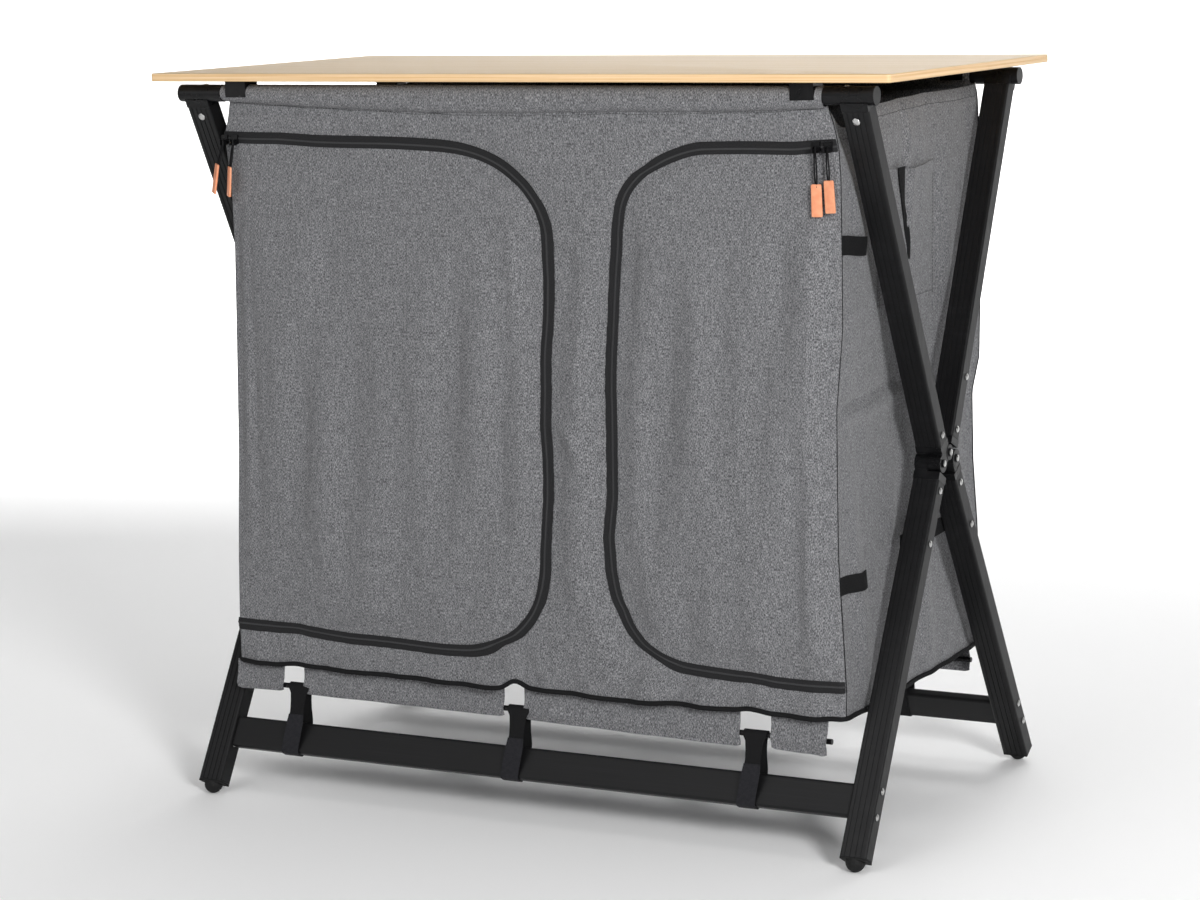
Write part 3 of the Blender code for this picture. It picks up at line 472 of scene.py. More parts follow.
def laid(bm, place):
    """Keeps the flat shape as the UV map, then moves each point to its place on the object."""
    mapped(bm, bm.loops.layers.uv.new("cloth"))
    flat = np.array([vert.co[:2] for vert in bm.verts])
    for vert, spot in zip(bm.verts, np.column_stack(place(flat[:, 0], flat[:, 1]))):
        vert.co = spot


def sheet_piece(
        name, bm, place, thick=CLOTH_THICK, look=cloth_grey, merge=0, shown=None, remap=False):
    """Lays a flat sheet in its place, joins points that meet, turns the shown side out if a
    measure of its faces is given, and gives it its thickness behind that side."""
    laid(bm, place)
    if remap:
        mapped(bm, bm.loops.layers.uv["cloth"])
    if merge:
        bmesh.ops.remove_doubles(bm, verts=bm.verts, dist=merge)
    bm.normal_update()
    if shown and sum(shown(face) for face in bm.faces) < 0:
        bmesh.ops.reverse_faces(bm, faces=bm.faces)
    bmesh.ops.solidify(bm, geom=bm.faces[:], thickness=thick)
    bmesh.ops.recalc_face_normals(bm, faces=bm.faces)
    return finished(bm, name, look)


def spaced(low, high, cell):
    """Even places from low to high, about one cell apart."""
    return list(np.linspace(low, high, max(2, int(round(abs(high - low) / cell)) + 1)))


# Front of the cupboard
# Cloth from the rail down to the bottom seam, with a D-shaped opening for each door: here in
# three parts, above, between and below the doors. It turns round the corners in a small curve,
# where it is sewn to the side walls.
FRONT_Y = 0.1965
CORNER_R = 0.005
BAG_HALF = 0.378
FLAT_HALF = BAG_HALF - CORNER_R + math.pi * CORNER_R / 2
FRONT_TOP = 0.790
FRONT_LOW = 0.149
DOOR_TOP = 0.7455
DOOR_LOW = 0.190
LEFT_DOOR = (-1, 0.0360, (0.130, 0.095, 0.110, 0.100))
RIGHT_DOOR = (1, 0.1115, (0.112, 0.103, 0.085, 0.085))
FRONT_CELL = 0.004
# Heights, and how far a corner is drawn in or a zip line strays sideways there; then places
# across, and how far the upper and lower zip lines stray upward there.
RIGHT_CORNER = (
    (0.149, 0.180, 0.234, 0.318, 0.381, 0.473, 0.558, 0.640, 0.712, 0.742, 0.767, 0.784, 0.790),
    (0.003, 0.002, 0.0044, 0.0085, 0.0085, 0.0077, -0.0006, -0.0015, -0.0015, 0.0, 0.005, 0.011, 0.0125))
LEFT_CORNER = (
    (0.149, 0.195, 0.266, 0.335, 0.393, 0.451, 0.508, 0.565, 0.62, 0.68, 0.712, 0.74, 0.752, 0.767, 0.79),
    (-0.006, -0.006, -0.0037, 0.0, 0.0032, 0.0049, 0.0067, 0.0084, 0.0101, 0.0098, 0.0070, 0.0042,
     0.0042, 0.0085, 0.0125))
LEFT_SHIFT = (
    (0.160, 0.1975, 0.210, 0.239, 0.270, 0.285, 0.321, 0.362, 0.403, 0.443, 0.483, 0.523,
     0.563, 0.603, 0.642, 0.7455),
    (0.0, -0.018, -0.0118, -0.0124, -0.0139, -0.0131, -0.0098, -0.0071, -0.0057, -0.0074, -0.0047,
     -0.0033, 0.0, 0.002, 0.0, -0.002))
RIGHT_SHIFT = (
    (0.160, 0.1943, 0.2031, 0.2125, 0.234, 0.247, 0.2594, 0.275, 0.288, 0.327, 0.367, 0.447,
     0.487, 0.526, 0.566, 0.605, 0.645, 0.666, 0.682, 0.698, 0.7195, 0.730, 0.7455, 0.785),
    (0.0, 0.015, 0.009, 0.0036, 0.0024, 0.003, 0.0, -0.0022, -0.0042, -0.006, -0.0011, -0.0004,
     0.0003, 0.0022, 0.0052, 0.0088, 0.0125, 0.0117, 0.009, 0.0063, 0.0054, 0.010, 0.008, 0.0))
TOP_SHIFT = (
    (-0.36, -0.30, -0.25, -0.20, -0.15, -0.11, -0.08, 0.19, 0.22, 0.26, 0.33, 0.35, 0.378),
    (0.0015, 0.0008, -0.0020, -0.0030, -0.0040, -0.0050, -0.0060, -0.0060, -0.0040, -0.0035,
     -0.0030, -0.0015, 0.0))
LOW_SHIFT = (
    (-0.378, -0.33, -0.30, -0.266, -0.23, -0.16, -0.10, 0.0, 0.11, 0.19, 0.25, 0.30, 0.33, 0.378),
    (0.0034, 0.0032, 0.0026, 0.0004, -0.0020, -0.0032, -0.0044, -0.0030, -0.0020, -0.0010,
     -0.0040, -0.0065, -0.0069, -0.0060))
FOLD_STEP = (0.065, 0.34)
FOLD_HIGH = 0.0052
SMALL_STEP = (0.024, 0.085)
SMALL_HIGH = 0.00095
PUCKER_PITCH = 0.027
PUCKER_HIGH = 0.0009
PUCKER_REACH = 0.022
BULGE = 0.0035
ZIP_CALM = (0.004, 0.040)
CORNER_CALM = (0.004, 0.030)
PULL_SPREAD = (0.290, 0.372)
WAVE_TOP = 0.215
WANDER = 0.0008
CREASE_SHARE = 1.9
PULL_ROOM = 0.0044
ROOM_BELOW_PULLS = 0.03
CALM_SHARE = 0.85
FINE_STEP = 0.0008
CREASES = (
    ((-0.004, 0.655), (-0.002, 0.535), 0.006, 0.0022),
    ((0.012, 0.640), (0.010, 0.560), 0.005, -0.0012),
    ((0.034, 0.668), (0.082, 0.622), 0.006, 0.0024),
    ((0.030, 0.650), (0.070, 0.600), 0.007, -0.0014),
    ((0.034, 0.465), (0.090, 0.395), 0.007, 0.0026),
    ((0.045, 0.480), (0.095, 0.430), 0.006, -0.0012),
    ((0.040, 0.300), (0.085, 0.260), 0.008, 0.0016),
    ((-0.362, 0.70), (-0.360, 0.30), 0.007, 0.0018),
    ((-0.347, 0.70), (-0.345, 0.34), 0.006, -0.0014),
    ((-0.050, 0.69), (-0.035, 0.30), 0.020, 0.0022),
    ((-0.255, 0.60), (-0.250, 0.25), 0.018, 0.0012),
    ((-0.150, 0.72), (-0.165, 0.42), 0.022, 0.0010),
    ((0.135, 0.50), (0.150, 0.26), 0.012, 0.0014),
    ((0.215, 0.70), (0.220, 0.30), 0.020, 0.0012),
    ((0.300, 0.66), (0.310, 0.25), 0.014, 0.0014),
    ((0.352, 0.62), (0.346, 0.28), 0.008, 0.0018),
    ((-0.015, 0.150), (-0.010, 0.205), 0.010, 0.0030),
    ((0.300, 0.786), (0.332, 0.752), 0.006, 0.0020),
    ((0.262, 0.785), (0.272, 0.757), 0.005, 0.0014),
    ((-0.335, 0.786), (-0.300, 0.757), 0.006, 0.0016),
    ((0.020, 0.775), (-0.020, 0.735), 0.008, 0.0020),
)
HUMPS = ((-0.3024, 0.016, 0.0030), (-0.0151, 0.011, 0.0085), (0.2722, 0.018, 0.0035), (0.120, 0.030, -0.0012))


def door_line(door, step=0.003):
    """The middle of a door's zip, from its upper end at the corner round to its lower end."""
    side, tip, (wide_top, tall_top, wide_low, tall_low) = door
    points = [(side * FLAT_HALF, DOOR_TOP)]
    ends = ((DOOR_TOP, -1, wide_top, tall_top), (DOOR_LOW, 1, wide_low, tall_low))
    for level, turn_way, wide, tall in ends:
        knee = tip + side * wide
        arc = []
        for angle in np.linspace(0, math.pi / 2, 25):
            rise = turn_way * tall * (1 - math.cos(angle))
            arc.append((knee - side * wide * math.sin(angle), level + rise))
        points += arc if turn_way < 0 else arc[::-1]
    points.append((side * FLAT_HALF, DOOR_LOW))
    points = np.array(points)
    lengths = np.concatenate([[0], np.cumsum(np.hypot(*np.diff(points, axis=0).T))])
    marks = np.linspace(0, lengths[-1], int(lengths[-1] / step) + 1)
    return np.column_stack([np.interp(marks, lengths, points[:, i]) for i in (0, 1)]), marks


DOOR_LINES = {"left": door_line(LEFT_DOOR), "right": door_line(RIGHT_DOOR)}


def corner_pull(side, height):
    """How far a front corner of the cupboard is drawn in at a height."""
    on_left, on_right = np.interp(height, *LEFT_CORNER), np.interp(height, *RIGHT_CORNER)
    return np.where(np.asarray(side) < 0, on_left, on_right)


def near_zip(across, height):
    """Distance to the nearest zip and the length along it there."""
    best = np.full(np.shape(across), 9.0)
    where = np.zeros(np.shape(across))
    for line, marks in DOOR_LINES.values():
        for start in range(0, len(line), 6):
            for (x, z), mark in zip(line[start:start + 6], marks[start:start + 6]):
                gap = np.hypot(across - x, height - z)
                closer = gap < best
                best = np.where(closer, gap, best)
                where = np.where(closer, mark, where)
    return best, where


def front_relief(across, height):
    """How far the front stands out from its flat cut, in metres."""
    gap, mark = near_zip(across, height)
    free = smooth_share(gap, *ZIP_CALM)
    edge = smooth_share(BAG_HALF - np.abs(across), *CORNER_CALM)
    relief = FOLD_HIGH * (1.1 + ripples(across / FOLD_STEP[0], height / FOLD_STEP[1], 11))
    relief = relief + SMALL_HIGH * (1 + ripples(across / SMALL_STEP[0], height / SMALL_STEP[1], 12))
    relief = relief + BULGE * smooth_share(gap, 0.0, 0.12)
    for start, end, wide, high in CREASES:
        relief = relief + CREASE_SHARE * crease(across, height, start, end, wide, high)
    relief = relief * (0.12 + 0.88 * free)
    pucker = 1 + np.sin(2 * math.pi * mark / PUCKER_PITCH + 2.2 * np.sin(mark * 41.0))
    relief = relief + PUCKER_HIGH * pucker * np.exp(-gap / PUCKER_REACH) * smooth_share(gap, 0.002, 0.010)
    calm = smooth_share(height, 0.712, 0.730) * smooth_share(gap, 0.016, 0.009)
    room = PULL_ROOM + ROOM_BELOW_PULLS * smooth_share(height, 0.680, 0.590)
    relief = room * np.tanh(np.maximum(relief, 0.0) / room)
    return relief * edge * (1 - CALM_SHARE * calm)


def bottom_wave(across):
    """How far the lower seam rises above its level, with a hump over each strap."""
    wave = 0.0008 * ripples(across / 0.10, 0 * across, 31)
    for centre, wide, high in HUMPS:
        wave = wave + high * np.exp(-((across - centre) / wide) ** 2)
    return wave


def strayed(across, height):
    """How far the sewn lines of the front stray from straight, sideways and upward."""
    by_left = np.interp(across, (-0.26, 0.03, 0.112), (0, 1, 0))
    by_right = np.interp(across, (0.03, 0.112, 0.30), (0, 1, 0))
    aside = np.interp(height, *LEFT_SHIFT) * by_left + np.interp(height, *RIGHT_SHIFT) * by_right
    by_top = smooth_share(height, 0.50, DOOR_TOP) * smooth_share(height, FRONT_TOP, DOOR_TOP)
    by_low = smooth_share(height, 0.40, DOOR_LOW) * smooth_share(height, 0.158, DOOR_LOW - 0.002)
    lift = np.interp(across, *TOP_SHIFT) * by_top + np.interp(across, *LOW_SHIFT) * by_low
    return aside * smooth_share(height, FRONT_TOP, DOOR_TOP), lift


def turned_edge(flat):
    """The side of a flat point, its distance from the middle before the corner, and its turn."""
    level = np.minimum(np.abs(flat), BAG_HALF - CORNER_R)
    return np.sign(flat), level, np.maximum(np.abs(flat) - level, 0) / CORNER_R


def front_place(flat, height, proud=0.0):
    """Where a point of the flat front lies, proud of the cloth by a given height."""
    side, level, bend = turned_edge(flat)
    pull = corner_pull(side, height) * smooth_share(np.abs(flat), *PULL_SPREAD)
    radius = CORNER_R + proud
    across = side * (level + radius * np.sin(bend) - pull)
    relief = front_relief(level * side, height)
    depth = -(FRONT_Y + relief + proud) + radius * (1 - np.cos(bend))
    drop = bottom_wave(across) * smooth_share(height, WAVE_TOP, FRONT_LOW)
    free = smooth_share(BAG_HALF - np.abs(across), 0.0, 0.05)
    across = across + WANDER * free * ripples(flat / 0.16, height / 0.13, 15)
    lift = WANDER * free * ripples(flat / 0.13, height / 0.16, 16) * smooth_share(height, FRONT_LOW, 0.185)
    aside, stray = strayed(flat, height)
    return across + aside, depth, height + drop + stray + lift * smooth_share(FRONT_TOP - height, 0.0, 0.03)


def front_columns(cell):
    turned = list(np.linspace(BAG_HALF - CORNER_R, FLAT_HALF, 7)[1:])
    return [-v for v in turned[::-1]] + spaced(CORNER_R - BAG_HALF, BAG_HALF - CORNER_R, cell) + turned


def in_door(door, x, z):
    """Whether a flat point lies inside the zip of a door."""
    side, tip, (wide_top, tall_top, wide_low, tall_low) = door
    if z >= DOOR_TOP or z <= DOOR_LOW:
        return False
    reach = 0.0
    for level, tall, wide in ((DOOR_TOP - z, tall_top, wide_top), (z - DOOR_LOW, tall_low, wide_low)):
        if level < tall:
            rise = 1 - level / tall
            reach = max(reach, wide * (1 - math.sqrt(max(0.0, 1 - rise * rise))))
    return side * x > side * tip + reach


def trimmed(bm, keep, lines, reach):
    """Cuts a flat grid to shape and draws its new edge onto the lines."""
    gone = [face for face in bm.faces if not keep(*face.calc_center_median().xy)]
    touched = {vert for face in gone for vert in face.verts}
    bmesh.ops.delete(bm, geom=gone, context="FACES")
    for vert in touched:
        if not vert.is_valid or not vert.is_boundary:
            continue
        best = None
        for line in lines:
            gaps = np.hypot(line[:, 0] - vert.co.x, line[:, 1] - vert.co.y)
            spot = int(np.argmin(gaps))
            if gaps[spot] < reach and (best is None or gaps[spot] < best[0]):
                best = (gaps[spot], line[spot])
        if best:
            vert.co.x, vert.co.y = best[1]
    bmesh.ops.dissolve_degenerate(bm, dist=0.0002, edges=bm.edges)


def not_in_doors(x, z):
    return not (in_door(LEFT_DOOR, x, z) or in_door(RIGHT_DOOR, x, z))


fine_lines = [door_line(door, FINE_STEP)[0] for door in (LEFT_DOOR, RIGHT_DOOR)]
rows = spaced(DOOR_LOW, DOOR_TOP, FRONT_CELL)
low_rows = spaced(FRONT_LOW, DOOR_LOW, FRONT_CELL)[:-1] + rows[:2]
high_rows = rows[-2:] + spaced(DOOR_TOP, FRONT_TOP, FRONT_CELL)[1:]
for part, part_rows, hung_from in (
        ("top", high_rows, "rail_front"), ("middle", rows[1:-1], "front_cloth_top"),
        ("low", low_rows, "front_cloth_middle")):
    bm = flat_grid(front_columns(FRONT_CELL), part_rows)
    trimmed(bm, not_in_doors, fine_lines, 1.5 * FRONT_CELL)
    flat_area = sum(face.calc_area() for face in bm.faces)
    front = sheet_piece("front_cloth_" + part, bm, front_place)
    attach(front, "frame_front")
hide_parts("bag_front")


for hand, door in (("left", LEFT_DOOR), ("right", RIGHT_DOOR)):
    side = door[0]
    columns = [value for value in front_columns(FRONT_CELL) if side * value > side * door[1] - FRONT_CELL]
    bm = flat_grid(columns, spaced(DOOR_LOW, DOOR_TOP, FRONT_CELL))
    edge_line = door_line(door, FINE_STEP)[0]
    trimmed(bm, lambda x, z: in_door(door, x, z), [edge_line], 1.5 * FRONT_CELL)
    door_area = sum(face.calc_area() for face in bm.faces)
    panel = sheet_piece("door_cloth_" + hand, bm, front_place)
    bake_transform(panel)
    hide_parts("door_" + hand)


# Zips
# Reverse coil zips on black tape, each round three sides of a door. The outer half of a tape is
# sewn to the front and the inner half to the door, and they meet at the coil.
TAPE_OUT = 0.0055
TAPE_IN = 0.0075
TAPE_SWELL = 0.0016
COIL_HALF = 0.0011
COIL_HIGH = 0.0007
STITCH_IN = 0.0018
ZIP_BLACK = (0.0075, 0.0075, 0.0085, 1.0)
# The grey of the tape's own fuzz flecks, also used for the painted highlight along the coil.
ZIP_FLECK_AND_HIGHLIGHT_GREY = (0.032, 0.032, 0.034, 1.0)
ZIP_SHINE = 0.35
COIL_PITCH = 0.0011
RIB_PITCH = (0.0008, 0.0009)
TAPE_THICK = 0.0011
TAPE_STOP = BAG_HALF - CORNER_R + 0.0050

zip_black, shader, coords = new_look("zip_tape_black", "UV")
split = axes_of(coords)
on_coil = ramp_of(maths("ABSOLUTE", split["Y"]), 0.0013, 0.0007)
teeth = wave_of(split["X"], COIL_PITCH)
rib = wave_of(split["Y"], RIB_PITCH[1])
rib = maths("MULTIPLY", rib, wave_of(split["X"], RIB_PITCH[0]))
# Along the raised coil the tape is painted lighter grey, pulsing with the teeth: a painted highlight. The
# fuzz flecks added next are the tape's own tone.
tone = maths("MULTIPLY", on_coil, ramp_of(teeth, -0.6, 0.8, 0.35, 1.0))
fuzz = ramp_of(noise_of(coords, (700.0, 700.0, 1.0)), 0.4, 0.7, 0.0, 0.25)
tone = maths("ADD", tone, fuzz)
colour = mixed(tone, ZIP_BLACK, ZIP_FLECK_AND_HIGHLIGHT_GREY)
rough = ramp_of(on_coil, 0, 1, 0.85, 0.45)
height = maths("ADD", maths("MULTIPLY", on_coil, teeth), maths("MULTIPLY", rib, 0.4))
dressed(shader, colour, rough, height, 0.0002, 0.7)
shader.inputs["Specular IOR Level"].default_value = ZIP_SHINE


def tape_half(door, low, high, name, body):
    """One half of a zip's tape, from low to high across it, standing on the cloth."""
    side = door[0]
    line, marks = door_line(door)
    tangent = np.gradient(line, axis=0)
    tangent /= np.hypot(*tangent.T)[:, None]
    inward = np.column_stack([tangent[:, 1], -tangent[:, 0]]) * side

    def place(mark, offset):
        x = np.interp(mark, marks, line[:, 0]) + np.interp(mark, marks, inward[:, 0]) * offset
        z = np.interp(mark, marks, line[:, 1]) + np.interp(mark, marks, inward[:, 1]) * offset
        x = np.clip(x, -TAPE_STOP, TAPE_STOP)
        outer_edge = TAPE_OUT - np.abs(offset) if low < 0 else TAPE_IN - np.abs(offset)
        rise = TAPE_SWELL * (0.45 + 0.55 * smooth_share(outer_edge, 0.0, 0.0012))
        rise = rise - 0.0004 * np.exp(-((outer_edge - STITCH_IN) / 0.0005) ** 2)
        rise = rise + COIL_HIGH * smooth_share(np.abs(offset), COIL_HALF * 1.6, COIL_HALF * 0.5)
        return front_place(x, z, rise)
    bm = flat_grid(marks, np.linspace(low, high, 9))
    tape = sheet_piece(name, bm, place, TAPE_THICK, zip_black, JOIN, lambda face: -face.normal.y)
    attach(tape, body)
    return tape


for hand, door in (("left", LEFT_DOOR), ("right", RIGHT_DOOR)):
    tape_half(door, -TAPE_OUT, 0.0, "zip_outer_" + hand, "frame_front")
    inner = tape_half(door, 0.0, TAPE_IN, "zip_inner_" + hand, "door_%s_body" % hand)
    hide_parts("zip_" + hand)


# Back of the cupboard
# One plain sheet, hung from the rear rail in the same way as the front.
BACK_HEIGHTS = (0.15, 0.29, 0.36, 0.44, 0.48, 0.55, 0.72, 0.773, 0.790)
BACK_PULLS = (0.004, 0.008, 0.012, 0.012, 0.003, 0.001, 0.0, 0.0015, 0.004)
BACK_FOLD = 0.0034
BACK_CREASE_SHARE = 1.5
BACK_CELL = 0.005
BACK_CREASES = (
    ((-0.30, 0.74), (-0.22, 0.40), 0.020, 0.0024),
    ((-0.10, 0.70), (-0.06, 0.22), 0.016, 0.0020),
    ((0.08, 0.74), (0.12, 0.35), 0.022, 0.0026),
    ((0.24, 0.60), (0.27, 0.20), 0.015, 0.0022),
    ((0.33, 0.72), (0.30, 0.50), 0.010, 0.0020),
)


def back_pull(height):
    return np.interp(height, BACK_HEIGHTS, BACK_PULLS)


def back_place(flat, height):
    side, level, bend = turned_edge(flat)
    pull = back_pull(height) * smooth_share(np.abs(flat), *PULL_SPREAD)
    across = side * (level + CORNER_R * np.sin(bend) - pull)
    edge = smooth_share(BAG_HALF - np.abs(across), *CORNER_CALM)
    relief = BACK_FOLD * (1.1 + ripples(flat / FOLD_STEP[0], height / FOLD_STEP[1], 21))
    for start, end, wide, high in BACK_CREASES:
        relief = relief + BACK_CREASE_SHARE * crease(flat, height, start, end, wide, high)
    relief = np.maximum(relief, 0) * edge * smooth_share(FRONT_TOP - height, 0.0, 0.06)
    depth = FRONT_Y + relief - CORNER_R * (1 - np.cos(bend))
    return -across, depth, height + bottom_wave(-across) * smooth_share(height, WAVE_TOP, FRONT_LOW)


bm = flat_grid(front_columns(BACK_CELL), spaced(FRONT_LOW, FRONT_TOP, BACK_CELL))
back = sheet_piece("back_cloth", bm, back_place)
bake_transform(back)
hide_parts("bag_back")


# Side walls
# Each is sewn to the front and the back, drawn in at its middle by the shelf, and slack at its
# upper edge. They hang between the legs and fold up when the frame closes.
WALL_HALF = 0.1917
WALL_TOP = 0.787
SEAM_STEP = 0.0006
WALL_PINCH = 0.0075
WALL_FOLDS = ((0.0022, 0.060, 0.24, 41), (0.0004, 0.022, 0.07, 42))
SIDES = ((-1, "left"), (1, "right"))
WALL_LIMITS = (0.3850, 0.3835)
LIMIT_STEP = -0.172
TOP_PLACES = (-0.1917, -0.180, -0.165, -0.145, -0.120, -0.085, -0.010, 0.050, 0.150, 0.1917)
TOP_HEIGHTS = (0.7835, 0.7700, 0.7620, 0.7640, 0.7740, 0.7800, 0.7840, 0.7860, 0.7860, 0.7880)
WALL_CREASES = (
    ((-0.190, 0.475), (-0.030, 0.479), 0.006, -0.0046),
    ((-0.190, 0.461), (-0.020, 0.465), 0.009, 0.0042),
    ((-0.040, 0.479), (0.180, 0.470), 0.006, -0.0038),
    ((-0.030, 0.465), (0.180, 0.456), 0.010, 0.0032),
    ((-0.016, 0.780), (-0.020, 0.640), 0.006, -0.0030),
    ((-0.004, 0.780), (-0.008, 0.640), 0.009, 0.0030),
    ((0.065, 0.705), (0.064, 0.590), 0.007, -0.0022),
    ((-0.186, 0.770), (-0.120, 0.700), 0.012, -0.0060),
    ((-0.190, 0.740), (-0.130, 0.640), 0.012, 0.0034),
    ((-0.150, 0.400), (-0.140, 0.180), 0.014, 0.0030),
    ((0.100, 0.730), (0.090, 0.500), 0.018, 0.0024),
    ((0.020, 0.420), (0.040, 0.180), 0.018, 0.0028),
    ((-0.175, 0.290), (-0.120, 0.240), 0.008, 0.0022),
    ((-0.100, 0.640), (-0.060, 0.500), 0.016, -0.0026),
    ((0.120, 0.330), (0.160, 0.200), 0.014, -0.0030),
)


def hump_share(value, low, high):
    """Rises smoothly from 0 at low to 1 in the middle and back to 0 at high."""
    return np.sin(math.pi * np.clip((value - low) / (high - low), 0, 1)) ** 2


def wall_reach(side, depth, height):
    """How far a side wall stands from the middle plane of the cupboard."""
    share = smooth_share(depth, -WALL_HALF, WALL_HALF)
    front_pull = corner_pull(side, height)
    bulging = front_pull * smooth_share(depth, -0.170, -WALL_HALF)
    front_pull = np.where(front_pull < 0, bulging, front_pull * (1 - share))
    pull = front_pull + back_pull(height) * share
    middle = hump_share(depth, -WALL_HALF, WALL_HALF)
    pinch = WALL_PINCH * middle * hump_share(height, 0.10, WALL_TOP + 0.02)
    reach = BAG_HALF - SEAM_STEP - pull - pinch
    inner = smooth_share(WALL_HALF - np.abs(depth), 0.0, 0.022)
    folds = 0.0
    for high, step, tall_step, seed in WALL_FOLDS:
        folds = folds + high * ripples(depth / step, height / tall_step, seed)
    for start, end, wide, high in WALL_CREASES:
        folds = folds + crease(depth, height, start, end, wide, high)
    return np.minimum(reach + folds * inner, np.where(depth < LIMIT_STEP, *WALL_LIMITS))


def wall_level(depth, height):
    """Height on the wall, where its slack upper edge dips and its lower edge waves."""
    top = np.interp(depth, TOP_PLACES, TOP_HEIGHTS)
    return FRONT_LOW + (height - FRONT_LOW) * (top - FRONT_LOW) / (WALL_TOP - FRONT_LOW)


for side, hand in SIDES:
    def wall_place(flat, height):
        depth = side * flat
        level = wall_level(depth, height)
        return side * wall_reach(side, depth, level), depth, level
    bm = flat_grid(spaced(-WALL_HALF, WALL_HALF, 0.004), spaced(FRONT_LOW, WALL_TOP, 0.004))
    wall = sheet_piece("side_wall_" + hand, bm, wall_place)
    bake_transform(wall)
    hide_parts("bag_side_" + hand)


# Side pockets
# A flat open pocket sewn on each side wall, with a turned hem at its mouth.
POCKET_FRONT = -0.088
POCKET_BACK = 0.066
POCKET_LOW = 0.567
POCKET_HIGH = 0.713
POCKET_OFF = 0.0010
POCKET_GAPE = 0.0030
POCKET_LIMIT = 0.3852
SLIT_Y = -0.016
SLIT_WIDE = 0.008
SLIT_HIGH = 0.0012
HEM_TALL = 0.014
HEM_HIGH = 0.0004
MOUTH_DIP = 0.004


def pocket_reach(side, depth, height):
    """How far a pocket stands out: off its wall, gaping upward, with a soft rib at its slit."""
    rising = smooth_share(height, POCKET_LOW, POCKET_HIGH)
    gape = hump_share(depth, POCKET_FRONT - 0.01, POCKET_BACK + 0.01) * rising
    rib = np.exp(-((depth - SLIT_Y) / SLIT_WIDE) ** 2) * smooth_share(height, 0.60, 0.66)
    return wall_reach(side, depth, height) + POCKET_OFF + POCKET_GAPE * gape + SLIT_HIGH * rib


for side, hand in SIDES:
    def pocket_place(flat, height):
        depth = side * flat
        hem = HEM_HIGH * smooth_share(height, POCKET_HIGH - HEM_TALL - 0.001, POCKET_HIGH - HEM_TALL)
        reach = np.minimum(pocket_reach(side, depth, height) + hem, POCKET_LIMIT)
        dip = MOUTH_DIP * hump_share(depth, POCKET_FRONT, POCKET_BACK)
        return side * reach, depth, height - dip * smooth_share(height, POCKET_LOW, POCKET_HIGH)
    ends = sorted((side * POCKET_FRONT, side * POCKET_BACK))
    bm = flat_grid(spaced(*ends, 0.003), spaced(POCKET_LOW, POCKET_HIGH, 0.003))
    pocket = sheet_piece("side_pocket_" + hand, bm, pocket_place)
    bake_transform(pocket)


# Floor and shelf
# Both are one sheet of cloth over a stiff board, sewn to the walls all round, and sag a little.
FLOOR_Z = 0.1492
FLOOR_THICK = 0.0035
FLOOR_SAG = 0.0022
SHELF_THICK = 0.0022
SHELF_SAG = 0.0035
SHELF_UNDER = 0.4628
EDGE_GAP = 0.0016

for name, node, under, thick, sag in (
        ("floor_sheet", "bag_floor", FLOOR_Z, FLOOR_THICK, FLOOR_SAG),
        ("shelf_sheet", "bag_shelf", SHELF_UNDER, SHELF_THICK, SHELF_SAG)):
    sewn_wave = 1.0 if node == "bag_floor" else 0.0

    def level_place(flat, share):
        depth = -share * (WALL_HALF - 0.0005)
        hand_side = np.sign(flat)
        reach = wall_reach(hand_side, depth, under + 0 * depth)
        reach = np.minimum(reach, BAG_HALF - corner_pull(hand_side, under)) - EDGE_GAP
        drop = sag * hump_share(flat, -1, 1) * hump_share(depth, -WALL_HALF, WALL_HALF)
        drop = drop + 0.0005 * ripples(flat / 0.30, depth / 0.12, 51)
        rise = sewn_wave * np.maximum(bottom_wave(flat * reach), 0)
        rise = rise * smooth_share(np.abs(depth), 0.12, WALL_HALF - 0.005)
        return flat * reach, depth, under - (drop - rise)
    bm = flat_grid(spaced(-1.0, 1.0, 0.02), spaced(-1.0, 1.0, 0.035))
    level_sheet = sheet_piece(name, bm, level_place, thick, remap=True)
    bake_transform(level_sheet)
    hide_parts(node)


# Rail sleeves
# The upper edges of the front and back are sewn into loose sleeves round the rails. They are
# gathered a little, and open where the board's clips grip.
FACES = ((-1, "front"), (1, "back"))
SLEEVE_HALF_DEEP = 0.0106
SLEEVE_TOP = 0.8068
SLEEVE_SEAM = (
    (-0.378, -0.359, -0.269, -0.114, 0.010, 0.131, 0.224, 0.304, 0.367),
    (0.7885, 0.7875, 0.7830, 0.7775, 0.7770, 0.7795, 0.7795, 0.7815, 0.7840))
SLEEVE_HALF = 0.3672
CLIP_SPAN = (0.3318, 0.3597)
RAIL_Y = 0.200
RAIL_Z = 0.797
GATHER_STEP = 0.015
GATHER_HIGH = 0.0011
SLEEVE_ROUND = 28
SLEEVE_GIRTH = 2 * math.pi * 0.0125
SLEEVE_THICK = 0.0007


def on_face(points, face):
    """Places of the front as they are, or the same ones across the cupboard for the back."""
    across, depth, height = points
    return (across, -face * depth, height)


def clear_of_clip(across, turn_share):
    """Whether a bit of sleeve stays where a clip grips the rail from above."""
    angle = turn_share * 2 * math.pi - math.pi / 2
    under = math.sin(angle) < -0.30
    return under or not CLIP_SPAN[0] < abs(across) < CLIP_SPAN[1]


